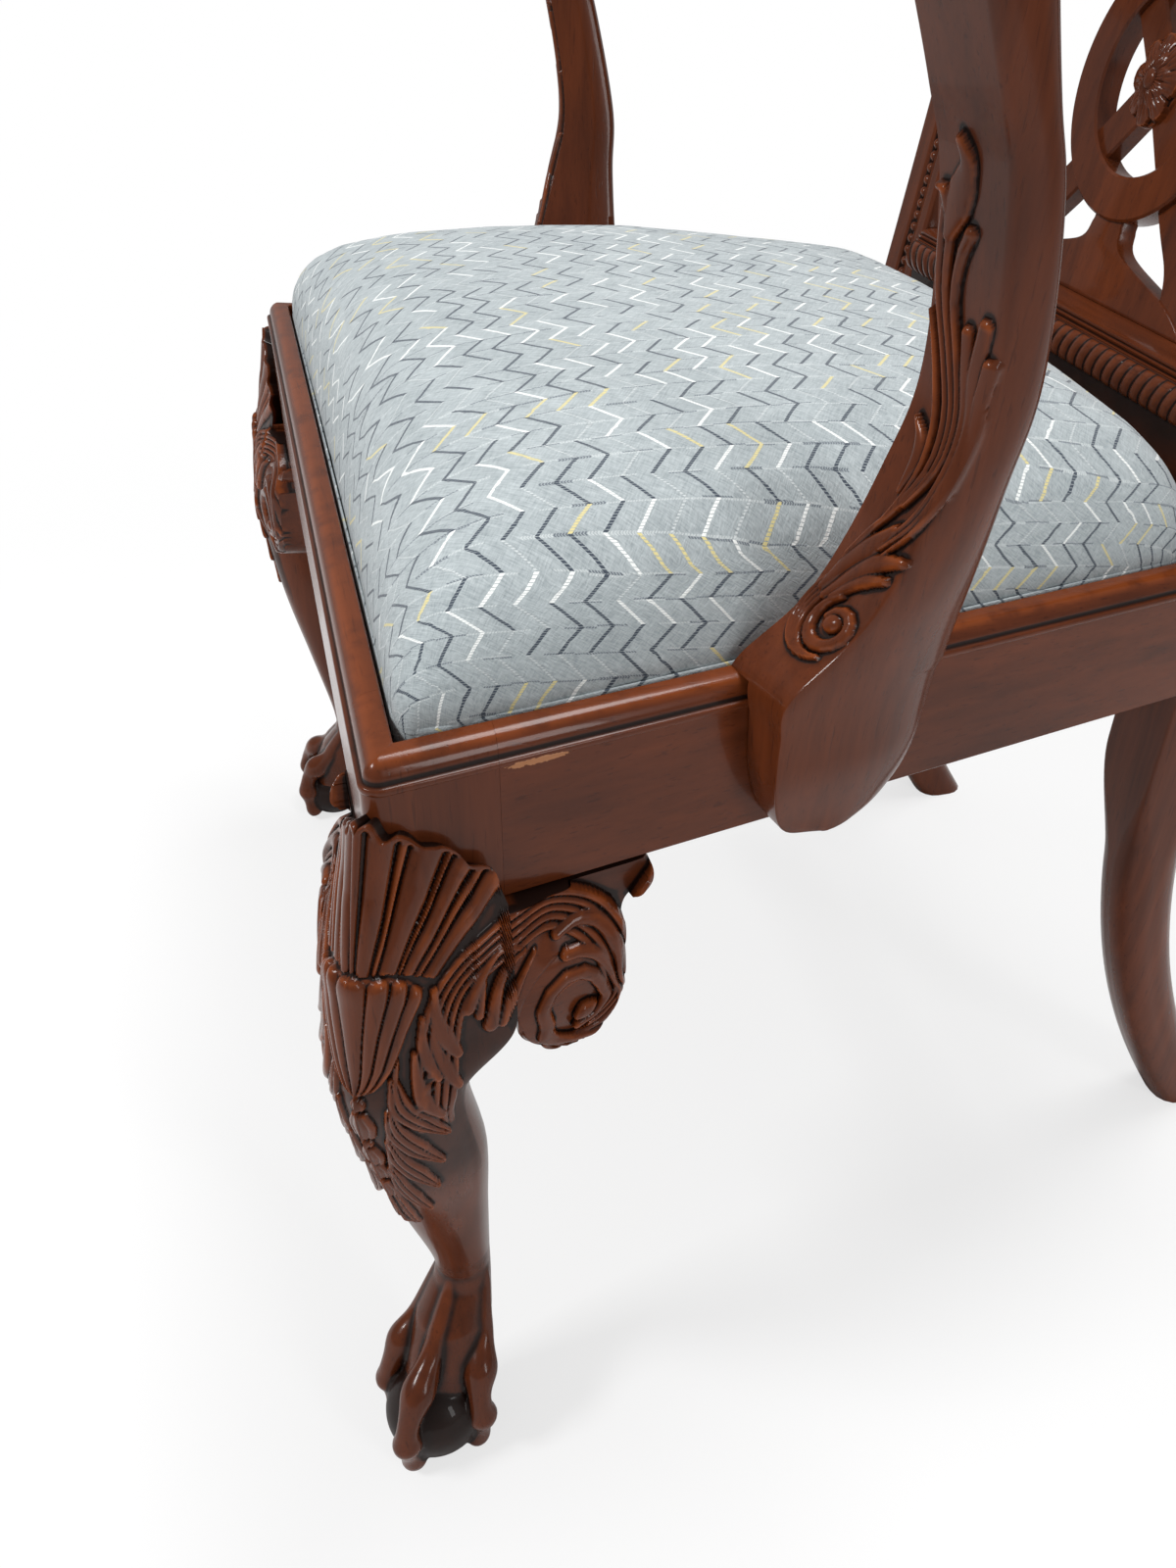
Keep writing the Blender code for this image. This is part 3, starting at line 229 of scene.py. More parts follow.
def copied_node(name):
    """A CAD node's shape as a mesh whose loose triangles are merged."""
    mesh = bmesh.new()
    mesh.from_mesh(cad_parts[name].data)
    bmesh.ops.remove_doubles(mesh, verts=mesh.verts, dist=1e-5)
    return mesh


def remeshed(mesh, voxel, rounds):
    """The outside of overlapping meshes as one even skin, softened by a number of rounds."""
    data = bpy.data.meshes.new("remeshing")
    mesh.to_mesh(data)
    shape = bpy.data.objects.new("remeshing", data)
    bpy.context.scene.collection.objects.link(shape)
    grid = shape.modifiers.new("grid", "REMESH")
    grid.mode = "VOXEL"
    grid.voxel_size = voxel
    graph = bpy.context.evaluated_depsgraph_get()
    skin = bmesh.new()
    skin.from_mesh(shape.evaluated_get(graph).to_mesh())
    bpy.data.objects.remove(shape)
    bpy.data.meshes.remove(data)
    points, edges = places_and_edges(skin)
    set_places(skin, relaxed(points, edges, rounds))
    skin.normal_update()
    return skin


def places_and_edges(mesh):
    """The mesh's points and the pairs of them that its edges join, as arrays."""
    mesh.verts.index_update()
    points = np.array([vert.co for vert in mesh.verts])
    edges = np.array([[vert.index for vert in edge.verts] for edge in mesh.edges])
    return points, edges


def set_places(mesh, points):
    """Moves the mesh's points, in their order, to new places."""
    for vert, point in zip(mesh.verts, points):
        vert.co = point


def relaxed(points, edges, rounds):
    """Points drawn towards the middle of their neighbours, a number of times."""
    count = len(points)
    both = np.concatenate([edges, edges[:, ::-1]])
    share = 1 / np.maximum(np.bincount(both[:, 0], minlength=count), 1)
    for _ in range(rounds):
        sums = [np.bincount(both[:, 0], points[both[:, 1], axis], minlength=count) for axis in range(3)]
        points = 0.5 * points + 0.5 * np.stack(sums, axis=1) * share[:, None]
    return points


def mirrored(mesh):
    """The mesh carried over to the chair's right side."""
    other = mesh.copy()
    bmesh.ops.scale(other, vec=(-1, 1, 1), verts=other.verts)
    bmesh.ops.reverse_faces(other, faces=other.faces)
    return other


# Pieces

def hollows(mesh, depth, rounds):
    """How far each point lies below its softened surroundings, in shares of a depth."""
    ready = mesh.verts.layers.float.get("hollow")
    if ready is not None:
        return np.array([vert[ready] for vert in mesh.verts])
    points, edges = places_and_edges(mesh)
    mesh.normal_update()
    normals = np.array([vert.normal for vert in mesh.verts])
    below = ((relaxed(points, edges, rounds) - points) * normals).sum(axis=1) / depth
    marks = mesh.verts.layers.float.get("glaze_and_shade")
    if marks is not None:
        below = below + np.array([vert[marks] for vert in mesh.verts])
    return below


def carved_hollows(raised):
    """The same measure for a grid of carving heights, in millimetres."""
    depth, rounds = 0.65, 9
    soft = raised
    for _ in range(rounds):
        wide = np.pad(soft, 1, mode="edge")
        neighbours = wide[2:, 1:-1] + wide[:-2, 1:-1] + wide[1:-1, 2:] + wide[1:-1, :-2]
        soft = 0.5 * soft + 0.125 * neighbours
    return np.clip((soft - raised) / depth, -1, 1)


def piece(name, mesh, finish, body, stands_for=(), hollow=None, depth=0.0006, rounds=10):
    """An object of the chair, with its hollows and edges marked for the finish's dark glazing, painted shade
    and painted highlights, riding on a body.
    """
    hollow = hollows(mesh, depth, rounds) if hollow is None else hollow
    data = bpy.data.meshes.new(name)
    mesh.to_mesh(data)
    mesh.free()
    data.shade_smooth()
    data.set_sharp_from_angle(angle=SHARP_EDGE)
    marks = data.attributes.get("hollow") or data.attributes.new("hollow", "FLOAT", "POINT")
    marks.data.foreach_set("value", np.clip(hollow, -1, 1).astype(np.float32))
    data.materials.append(finish)
    made = bpy.data.objects.new(name, data)
    bpy.context.scene.collection.objects.link(made)
    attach(made, body)
    if stands_for:
        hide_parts(*stands_for)
    return made


def wooden(name, mesh, finish, stands_for, **settings):
    """A piece of the polished frame."""
    made = piece(name, mesh, finish, "frame", stands_for, **settings)


def wooden_pair(name, mesh, finish, node, **settings):
    """A left piece of the polished frame and its mirror on the right."""
    other = mirrored(mesh)
    wooden(name + "_left", mesh, finish, [node + "_left"], **settings)
    wooden(name + "_right", other, finish, [node + "_right"], **settings)


# Shaders

class Socket:
    """A shader value that takes part in sums."""

    def __init__(self, shader, socket):
        self.shader = shader
        self.socket = socket

    def sum(self, operation, first, second):
        return self.shader.node("Math", {"operation": operation}, {0: first, 1: second})

    def __add__(self, other):
        return self.sum("ADD", self, other)

    def __radd__(self, other):
        return self.sum("ADD", other, self)

    def __sub__(self, other):
        return self.sum("SUBTRACT", self, other)

    def __rsub__(self, other):
        return self.sum("SUBTRACT", other, self)

    def __mul__(self, other):
        return self.sum("MULTIPLY", self, other)

    def __rmul__(self, other):
        return self.sum("MULTIPLY", other, self)

    def __truediv__(self, other):
        return self.sum("DIVIDE", self, other)

    def __lt__(self, other):
        return self.sum("LESS_THAN", self, other)

    def __gt__(self, other):
        return self.sum("GREATER_THAN", self, other)


class Shader:
    """One material, or the world, and the nodes behind it."""

    def __init__(self, name, is_world=False):
        self.owner = (bpy.data.worlds if is_world else bpy.data.materials).new(name)
        self.owner.use_nodes = True
        self.tree = self.owner.node_tree
        self.surface = self.tree.nodes["Background" if is_world else "Principled BSDF"]

    def node(self, kind, settings=None, sockets=None, output=0):
        """One node: its settings first, then its sockets' values or links."""
        made = self.tree.nodes.new("ShaderNode" + kind)
        for key, value in (settings or {}).items():
            setattr(made, key, value)
        for key, value in (sockets or {}).items():
            self.set_socket(made.inputs[key], value)
        return Socket(self, made.outputs[output])

    def set_socket(self, socket, value):
        if isinstance(value, Socket):
            self.tree.links.new(value.socket, socket)
        else:
            socket.default_value = value

    def finish(self, **sockets):
        """Sets the surface's sockets, named with underscores for spaces, and gives what it is for."""
        for key, value in sockets.items():
            self.set_socket(self.surface.inputs[key.replace("_", " ")], value)
        return self.owner

    def mix(self, share, first, second):
        """A blend of two colours."""
        colours = {"Factor": share, 6: first, 7: second}
        return self.node("Mix", {"data_type": "RGBA", "clamp_factor": True}, colours, 2)

    def noise(self, vector, scale, detail=4.0, roughness=0.55, distortion=0.0):
        sockets = {"Vector": vector, "Scale": scale, "Detail": detail,
                   "Roughness": roughness, "Distortion": distortion}
        return self.node("TexNoise", {}, sockets)

    def ramp(self, value, low, high):
        """0 below low, 1 above high."""
        sockets = {"Value": value, "From Min": low, "From Max": high}
        return self.node("MapRange", {"clamp": True, "interpolation_type": "SMOOTHSTEP"}, sockets)

    def bump(self, height, distance, strength):
        return self.node("Bump", {}, {"Height": height, "Distance": distance, "Strength": strength})

    def parts(self, vector):
        """A vector's three numbers."""
        split = self.node("SeparateXYZ", {}, {0: vector})
        return [Socket(self, output) for output in split.socket.node.outputs]

    def place(self):
        """Object coordinates, which are the chair's own."""
        return self.node("TexCoord", {}, {}, 3)

    def stretched(self, vector, scale, turn=(0.0, 0.0, 0.0)):
        return self.node("Mapping", {}, {"Vector": vector, "Scale": scale, "Rotation": turn})

    def mark(self, name, output=2):
        return self.node("Attribute", {"attribute_name": name}, {}, output)


def colour(red, green, blue):
    """An sRGB colour as the linear one that a shader takes."""
    return (*[((value / 255 + 0.055) / 1.055) ** 2.4 for value in (red, green, blue)], 1.0)


def mahogany(name, stretch, turn=(0.0, 0.0, 0.0), chipped=False):
    """Stained and lacquered mahogany, its grain drawn out by a stretch, with dark glazing and painted shade
    in its hollows, and wear and painted highlights on its edges.
    """
    shader = Shader(name)
    place = shader.place()
    grain_place = shader.stretched(place, stretch, turn)
    grain = shader.noise(grain_place, 120.0, 6.0, 0.62, 0.3)
    figure = shader.noise(grain_place, 26.0, 3.0, 0.5, 0.8)
    pores = shader.ramp(shader.noise(grain_place, 760.0, 2.0, 0.5), 0.60, 0.72)
    patches = shader.noise(place, 7.0, 2.0, 0.5)
    rub_and_sheen = shader.noise(place, 60.0, 3.0, 0.6)
    hollow = shader.mark("hollow")
    wood = shader.mix(grain * 0.8 + figure * 0.7 - 0.25, colour(48, 21, 10), colour(112, 54, 26))
    wood = shader.mix(shader.ramp(patches, 0.35, 0.75) * 0.35, wood, colour(52, 27, 21))
    wood = shader.mix(pores * 0.35, wood, colour(34, 15, 9))
    # Convex places are lightened orange, partly by wear and partly as a painted highlight.
    wear_and_highlight = shader.ramp(0.0 - hollow, 0.10, 0.9) * shader.ramp(rub_and_sheen, 0.26, 0.60)
    wood = shader.mix(wear_and_highlight * 0.5, wood, colour(150, 74, 30))
    # Hollows are darkened, partly as dark glazing and partly as painted shade.
    glaze_and_shade = shader.ramp(hollow + (rub_and_sheen - 0.5) * 0.25, 0.05, 0.6)
    wood = shader.mix(glaze_and_shade * 0.94, wood, colour(18, 9, 6))
    if chipped:
        wood = shader.mix(chip_mask(shader, place), wood, colour(160, 108, 72))
    rough = 0.22 + (grain - 0.5) * 0.10 + glaze_and_shade * 0.25
    skin = shader.bump(grain * 0.5 + pores * -0.6, 0.00012, 0.35)
    return shader.finish(Base_Color=wood, Roughness=rough, Normal=skin, Specular_IOR_Level=0.13,
                         Coat_Weight=0.14, Coat_Roughness=0.04)


def chip_mask(shader, place):
    """A chip in the lacquer under the moulding, beside the left front post."""
    half_length, half_height = 0.0125, 0.0017
    _, middle_y, middle_z = (float(value) for value in beside(POST + 0.0155, 0.0, RAIL_TOP - 0.0132))
    x, y, z = shader.parts(place)
    ragged = (shader.noise(place, 260.0, 4.0, 0.7) - 0.5) * 3.4
    along, up = (y - middle_y) / half_length, (z - middle_z) / half_height
    return shader.ramp(0.0 - along * along - up * up - ragged, -1.0, -0.8) * (x > 0.0)


def plain_wood(name, dark, light, stretch, rough):
    """Unpolished wood for the hidden frame blocks and the board."""
    shader = Shader(name)
    place = shader.place()
    grain_place = shader.stretched(place, stretch)
    grain = shader.noise(grain_place, 140.0, 5.0, 0.6, 0.4)
    figure = shader.noise(grain_place, 30.0, 2.0, 0.5, 1.0)
    wood = shader.mix(grain * 0.6 + figure * 0.5 - 0.05, dark, light)
    skin = shader.bump(grain, 0.0002, 0.6)
    return shader.finish(Base_Color=wood, Roughness=rough + grain * 0.15, Normal=skin)


def screw_steel():
    """Dull steel with scuffed patches."""
    shader = Shader("screw_steel")
    wear = shader.noise(shader.place(), 900.0, 3.0)
    tint = shader.mix(wear, colour(120, 116, 108), colour(176, 172, 164))
    return shader.finish(Base_Color=tint, Metallic=1.0, Roughness=0.28 + wear * 0.25)


def lining_cloth():
    """The thin black cloth stapled under the seat."""
    shader = Shader("lining_cloth")
    place = shader.place()
    threads = shader.noise(shader.stretched(place, (1.0, 0.12, 1.0)), 1400.0, 2.0)
    cross = shader.noise(shader.stretched(place, (0.12, 1.0, 1.0)), 1400.0, 2.0)
    tint = shader.mix(threads * cross * 2.0, colour(18, 18, 19), colour(52, 51, 52))
    weave = shader.bump(threads + cross, 0.0002, 0.7)
    return shader.finish(Base_Color=tint, Roughness=0.92, Normal=weave)


UPRIGHT_GRAIN = mahogany("mahogany_upright", (1.0, 1.0, 0.055))
CROSS_GRAIN = mahogany("mahogany_across", (0.055, 1.0, 1.0))
SIDE_GRAIN = mahogany("mahogany_along_side", (1.0, 0.055, 1.0), (0.0, 0.0, -SPLAY), True)


# Camera, light and floor, first because everything else is judged through them

def camera():
    """The photograph's viewpoint, with the frame's own shift to one side."""
    focal, width, height, middle = 1306.96, 1200, 1600, 760
    right, up = Vector((0.3367, 0.9385, 0.0770)), Vector((-0.5632, 0.1351, 0.8152))
    forward = Vector((-0.7546, 0.3178, -0.5740))
    place = Vector((0.6859, FRONT_FACE - 0.0159, 0.7046))
    eye = bpy.data.cameras.new("viewpoint")
    eye.lens = focal * eye.sensor_width / height
    eye.shift_x = (width / 2 - middle) / height
    eye.clip_start = 0.01
    view = bpy.data.objects.new("viewpoint", eye)
    columns = [right.normalized(), up.normalized(), -forward.normalized(), place]
    view.matrix_world = Matrix([[column[row] for column in columns] for row in range(3)]).to_4x4()
    bpy.context.scene.collection.objects.link(view)
    bpy.context.scene.camera = view


def panel_light(name, place, target, size, watts):
    """A large soft white lamp that faces a point of the chair."""
    lamp = bpy.data.lights.new(name, "AREA")
    lamp.shape = "RECTANGLE"
    lamp.size, lamp.size_y = size
    lamp.energy = watts
    stand = bpy.data.objects.new(name, lamp)
    stand.location = place
    stand.rotation_euler = (Vector(target) - Vector(place)).to_track_quat("-Z", "Y").to_euler()
    bpy.context.scene.collection.objects.link(stand)


def studio_lamps():
    """Soft lamps: one high in front, one overhead and one from the chair's left."""
    target = (0.1, FRONT_FACE + 0.2, 0.4)
    panel_light("key", (0.3, FRONT_FACE - 2.0, 2.3), target, (0.75, 0.5), 50)
    panel_light("overhead", (-0.2, FRONT_FACE + 0.7, 2.6), target, (1.0, 0.7), 38)
    panel_light("fill", (2.5, FRONT_FACE + 1.3, 1.3), target, (0.45, 1.2), 17)


def white_world():
    """A world that is white to the camera and through glass, and lights the chair with less."""
    light_on_chair = 0.40
    sky = Shader("studio", is_world=True)
    rays = [sky.node("LightPath", {}, {}, ray) for ray in ("Is Camera Ray", "Is Transmission Ray")]
    seen = sky.node("Math", {"operation": "MAXIMUM"}, dict(enumerate(rays)))
    strength = sky.node("MapRange", {}, {"Value": seen, "To Min": light_on_chair, "To Max": 1.0})
    bpy.context.scene.world = sky.finish(Color=WHITE, Strength=strength)
    bpy.context.scene.view_settings.view_transform = "Standard"


def pale_floor():
    """A floor that keeps the chair's shadow near it and fades into the white world further off."""
    half_size, white_near, fade_start, fade_end = 60.0, 0.70, 0.5, 1.4
    mesh = bmesh.new()
    bmesh.ops.create_grid(mesh, x_segments=8, y_segments=8, size=half_size)
    data = bpy.data.meshes.new("floor")
    mesh.to_mesh(data)
    mesh.free()
    shader = Shader("floor_paint")
    mottle = shader.noise(shader.place(), 3.0, 2.0)
    tint = shader.mix(mottle, (0.86, 0.86, 0.86, 1.0), (0.90, 0.90, 0.90, 1.0))
    seen = shader.node("LightPath", {}, {}, "Is Camera Ray")
    away = shader.node("VectorMath", {"operation": "LENGTH"}, {0: shader.place()}, "Value")
    white = white_near + shader.ramp(away, fade_start, fade_end) * (1 - white_near)
    data.materials.append(shader.finish(Base_Color=tint, Roughness=0.9))
    paint = Socket(shader, shader.surface.outputs[0])
    glow = shader.node("Emission", {}, {"Color": WHITE, "Strength": 1.0})
    blended = shader.node("MixShader", {}, {0: seen * white, 1: paint, 2: glow})
    shader.set_socket(shader.tree.nodes["Material Output"].inputs["Surface"], blended)
    floor = bpy.data.objects.new("floor", data)
    bpy.context.scene.collection.objects.link(floor)


# Seat rails with their moulded top edge

def edge_mould():
    """The rail's moulding as inset from its face and height: face, bead, groove, round, band and rebate."""
    bead, proud, groove, set_in, round_over, soft = 0.0016, 0.0007, 0.0012, 0.0015, 0.0085, 0.0006
    face_top = RAIL_TOP - round_over - 2 * bead - groove
    points = [(0.0, face_top)]
    for turn in np.radians(np.linspace(-90, 90, 7)):
        points.append((-proud * math.cos(turn), face_top + bead + bead * math.sin(turn)))
    points += [(0.0012, face_top + 2 * bead + 0.0002), (set_in, face_top + 2 * bead + groove)]
    for turn in np.radians(np.linspace(0, 90, 9)):
        inset = set_in + round_over * (1 - math.cos(turn))
        points.append((inset, RAIL_TOP - round_over * (1 - math.sin(turn))))
    return [*points, (BAND - soft, RAIL_TOP), (BAND, RAIL_TOP - soft), (BAND, LEDGE)]


def rail_outline():
    """A rail's whole section: face and moulding, rebate for the seat, inside and underside."""
    soft = 0.0012
    face = [(soft, RAIL_BOTTOM), (0.0, RAIL_BOTTOM + soft)]
    return [*face, *edge_mould(), (RAIL_THICKNESS, LEDGE), (RAIL_THICKNESS, RAIL_BOTTOM)]


def post_start(inset):
    """Where the left side rail begins beside the front post, this far in from its face."""
    return POST + inset * TAN


def mould_hollows(mesh):
    """Dark glazing and painted shade in the groove of the moulding, and rub with a painted highlight on its
    round edge.
    """
    heights = np.array([vert.co.z for vert in mesh.verts])
    groove, round_edge = RAIL_TOP - 0.0088, RAIL_TOP - 0.0012
    return hump(heights, groove, 0.0007) - 0.6 * hump(heights, round_edge, 0.0020)


def rails():
    """The front rail and the two side rails."""
    outline = rail_outline()
    reach = np.array([HALF_FRONT - POST - inset * TAN - JOINT_GAP for inset, _ in outline])
    left = [Vector((x, FRONT_FACE + inset, z)) for x, (inset, z) in zip(reach, outline)]
    right = [Vector((-point.x, point.y, point.z)) for point in left]
    bar = extruded(left, right)
    wooden("moulded_front_rail", bar, CROSS_GRAIN, ["front_rail"], hollow=mould_hollows(bar))
    near = [beside(post_start(inset) + JOINT_GAP, -inset, z) for inset, z in outline]
    ends = [(SEAT_DEPTH - inset * SIN) / COS - JOINT_GAP for inset, _ in outline]
    rear_gap = 0.0002
    far = [beside(end - rear_gap, -inset, z) for end, (inset, z) in zip(ends, outline)]
    bar = extruded([Vector(point) for point in near], [Vector(point) for point in far])
    wooden_pair("moulded_side_rail", bar, SIDE_GRAIN, "side_rail", hollow=mould_hollows(bar))


def corner_post():
    """The front leg's square top, its moulding carried round the soft corner."""
    radius, least_radius, foot, inside = 0.0075, 0.0008, RAIL_BOTTOM - 0.012, POST - 0.004
    levels = [(0.004, foot), (0.0, foot + 0.004), *edge_mould(), (inside, LEDGE), (inside, foot)]
    rings = []
    for inset, z in levels:
        turn_radius = max(radius - inset, least_radius)
        middle = CORNER - BISECTOR * (turn_radius + inset) / math.cos(HALF_TURN)
        turns = np.linspace(HALF_TURN, 0, 8)
        arc = np.array([[*(middle + turned_bisector(turn) * turn_radius), z] for turn in turns])
        near = beside(post_start(inset) - JOINT_GAP, -inset, z)
        straight = np.linspace(near, arc[0], 6)[:-1]
        half = np.concatenate([straight, arc])
        other = mirrored_at_corner(half)[::-1][1:]
        rings.append(np.concatenate([half, other]))
    return np.array(rings)


# Front legs: the plain cabriole, then the carving on its knee

LEG_LEVELS = [
    (0.041, 0.0100, 0.0210, 2.0, 2.0), (0.073, 0.0180, 0.0205, 2.0, 2.0), (0.098, 0.0273, 0.0147, 2.0, 2.0),
    (0.118, 0.0273, 0.0147, 2.0, 2.0), (0.1705, 0.02015, 0.0206, 2.2, 2.2), (0.223, 0.0130, 0.0265, 2.4, 2.4),
    (0.284, 0.0040, 0.0270, 2.6, 3.0), (0.318, 0.01375, 0.03625, 2.8, 5.0), (0.356, 0.0150, 0.0350, 2.9, 6.0),
    (0.420, 0.0210, 0.0290, 3.2, 6.0),
]


def leg_plan(share, z):
    """Plan places round the leg: share 0 on the arris, 1 by the side rail, 2 inside, 3 by the front rail."""
    curve = through(LEG_LEVELS, 240)
    inset, half, arris, inner = (np.interp(z, curve[:, 0], curve[:, k]) for k in range(1, 5))
    turn = math.pi / 4 - math.pi / 2 * share
    wide, deep = np.cos(turn), np.sin(turn)
    power = 2 / np.where((wide > 0) & (deep > 0), arris, inner)
    wide, deep = (np.sign(value) * np.abs(value) ** power for value in (wide, deep))
    first = (BISECTOR + np.array([-BISECTOR[1], BISECTOR[0]])) / math.sqrt(2)
    second = np.array([first[1], -first[0]])
    centre = CORNER - BISECTOR * inset[..., None] * math.sqrt(2)
    return centre + half[..., None] * (first * wide[..., None] + second * deep[..., None])


ARRIS_REACH = [(0.270, 0.0220), (0.299, 0.0222), (0.330, 0.0206), (0.360, 0.0176),
               (0.391, 0.0099), (0.420, 0.0034)]
FACE_REACH = [(0.270, 0.0235), (0.300, 0.0235), (0.320, 0.0225), (0.340, 0.0205),
              (0.360, 0.0165), (0.380, 0.0105), (0.400, 0.0048), (0.420, 0.0012)]
JOINT_REACH = [(0.270, 0.0150), (0.286, 0.0170), (0.305, 0.0200), (0.325, 0.0190),
               (0.345, 0.0145), (0.364, 0.0085), (0.385, 0.0030), (0.420, 0.0002)]
OUTER_COLUMNS = 104
KNEE_RIM = [(0.0, 0.4165), (0.03, 0.4182), (0.15, 0.4188), (0.22, 0.4168), (0.29, 0.4120), (0.33, 0.4106),
            (0.44, 0.4112), (0.52, 0.4086), (0.59, 0.4038), (0.63, 0.4028), (0.72, 0.4008), (0.78, 0.3968),
            (0.83, 0.3902), (0.86, 0.3888), (0.92, 0.3868), (0.955, 0.3826), (0.975, 0.3740), (1.0, 0.3668)]
LEG_PIECE_FOOT = 0.120


def knee_plan(share, z):
    """Plan places on the knee from the arris, share 0, round to the joint with the side block, share 1."""
    arris, face, joint = (between(z, stations) for stations in (ARRIS_REACH, FACE_REACH, JOINT_REACH))
    toward = float(BISECTOR @ np.array([-SIN, COS])), float(BISECTOR @ np.array([COS, SIN]))
    pull = np.maximum((1.06 * face - toward[1] * arris) / -toward[0], 0.002)
    starts = np.stack([toward[0] * arris, toward[1] * arris], -1)
    leaves = starts + pull[..., None] * np.array([toward[1], -toward[0]])
    ends = np.stack([POST - JOINT_GAP - joint * TAN, joint], -1)
    arrives = ends - np.stack([np.full_like(z, 0.030), (joint - face) * 0.75], -1)
    plan = cubic(share[..., None], (starts, leaves, arrives, ends))
    return beside(plan[..., 0], plan[..., 1], z)[..., :2]


def knee_grid():
    """Half of the leg's skin, from the ankle to the shell's rim and from the arris round to the inside."""
    inner, shin_rows, knee_rows = 14, 26, 330
    share = np.concatenate([np.linspace(0, 1, OUTER_COLUMNS + 1), np.linspace(1, 2, inner + 1)[1:]])
    rim = np.interp(np.minimum(share, 1.0), *through(KNEE_RIM, 160).T)
    carved_low = 0.186
    climb = np.concatenate([np.linspace(0, 1, shin_rows + 1)[:-1], 1 + np.linspace(0, 1, knee_rows + 1)])
    climb = climb[:, None]
    z = np.where(climb < 1, LEG_PIECE_FOOT + (carved_low - LEG_PIECE_FOOT) * climb,
                 carved_low + (rim - carved_low) * (climb - 1))
    share = np.broadcast_to(share, z.shape)
    low = leg_plan(share, z)
    high = knee_plan(np.minimum(share, 1.0), z)
    at_joint = leg_plan(np.ones_like(z), z)
    joint = knee_plan(np.ones_like(z), z)
    behind = low + (joint - at_joint) * eased(1.6 - share, 0.0, 0.6)[..., None]
    upper = np.where((share <= 1)[..., None], high, behind)
    plan = low + (upper - low) * eased(z, 0.286, 0.318)[..., None]
    inside = np.minimum(plan, joint - np.array([0.0045, 0.0003]))
    plan = plan + (inside - plan) * ((share > 1) * eased(z, 0.296, 0.306))[..., None]
    return np.concatenate([plan, z[..., None]], -1), share


def outward(places, share):
    """Directions out of the half leg's skin: square to it, but straight out of the side rail at the joint."""
    normal = square_to(places)
    normal[:, 0, :2] = (normal[:, 0, :2] @ BISECTOR)[:, None] * BISECTOR
    weight = eased(share, 0.6, 1.0) * eased(places[..., 2], 0.296, 0.314)
    return normal + weight[..., None] * (np.array([1 / COS, 0.0, 0.0]) - normal)


def arc_from_arris(places):
    """Distance round the skin from the arris for each place, in millimetres."""
    steps = np.linalg.norm(np.diff(places[..., :2], axis=1), axis=-1)
    return np.concatenate([np.zeros((len(places), 1)), np.cumsum(steps, axis=1)], axis=1) / MM


class Relief:
    """Heights of a carving over flat points, in millimetres."""

    def __init__(self, across, up):
        self.across = across.ravel()
        self.up = up.ravel()
        self.shape = across.shape
        self.height = np.zeros(self.across.shape)

    def near(self, path, widths, count=18):
        """Distance from a path in its half widths, signed by side, and the share of the way along it."""
        curve = through(path, count)
        reach = max(widths) + 0.5
        low, high = curve.min(axis=0) - reach, curve.max(axis=0) + reach
        chosen = np.flatnonzero((self.across > low[0]) & (self.across < high[0])
                                & (self.up > low[1]) & (self.up < high[1]))
        x, y = self.across[chosen], self.up[chosen]
        best = np.full(len(chosen), 1e9)
        side, share = np.zeros(len(chosen)), np.zeros(len(chosen))
        for k in range(count - 1):
            (ax, ay), (dx, dy) = curve[k], curve[k + 1] - curve[k]
            t = np.clip(((x - ax) * dx + (y - ay) * dy) / (dx * dx + dy * dy + 1e-12), 0, 1)
            off_x, off_y = x - ax - t * dx, y - ay - t * dy
            distance = np.hypot(off_x, off_y)
            closer = distance < best
            best[closer] = distance[closer]
            side[closer] = np.sign(dx * off_y - dy * off_x)[closer]
            share[closer] = ((k + t) / (count - 1))[closer]
        half = np.interp(share, np.linspace(0, 1, len(widths)), widths)
        return chosen, side * best / half, share

    def lobe(self, path, widths, rise, base=0.0, ridges=1, fall=0.0):
        """A rounded strand or leaf along a path, with ridges along it, its base falling towards its start."""
        chosen, offset, share = self.near(path, widths)
        inside = np.abs(offset) < 1
        chosen, offset, share = chosen[inside], offset[inside], share[inside]
        profile = domed(offset)
        if ridges > 1:
            within = ((offset + 1) / 2 * ridges) % 1 * 2 - 1
            profile = profile ** 0.5 * (0.45 + 0.55 * domed(within))
        height = base - fall * (1 - share) + rise * profile
        self.height[chosen] = np.maximum(self.height[chosen], height)

    def where(self, mask, height):
        """Sets the heights inside a mask."""
        self.height[mask] = np.broadcast_to(height, self.height.shape)[mask]

    def done(self):
        """The heights in the shape of the points' grid."""
        return self.height.reshape(self.shape)


def upper_shell(relief):
    """The fan of flutes below the rail: broad lobes with thin ridges between them."""
    q, z = relief.across, relief.up
    angle = np.degrees(np.arctan2(q, np.maximum(z - 312.0, 1.0)))
    waist = np.interp(q, [0, 13, 20, 30], [360, 358.5, 356, 351])
    right_edge, sunk = 39.8, 1.1
    lobes = [(-1.1, 1.1, 1.6), (1.9, 8.0, 2.7), (8.7, 10.8, 1.6), (11.4, 19.9, 2.9), (20.5, 22.1, 1.6),
             (22.7, 28.5, 2.8), (29.2, 32.2, 1.8), (32.8, right_edge, 2.9)]
    height = np.full(q.shape, -sunk)
    for start, end, rise in lobes:
        offset = (angle - (start + end) / 2) / ((end - start) / 2)
        height = np.maximum(height, (rise + sunk) * domed(offset) - sunk)
    up_fan = eased(z, waist, waist + 30)
    height = height * (0.5 + 0.5 * up_fan) + 0.3 * up_fan
    relief.where((angle < right_edge) & (z > waist - 1.0), height)


def above_arch(across, up):
    """Whether places lie on the bare ground over the arching strands."""
    return up > np.interp(across, [64, 80, 95, 108, 118, 122, 123], [366, 365, 358, 346, 328, 308, 500])


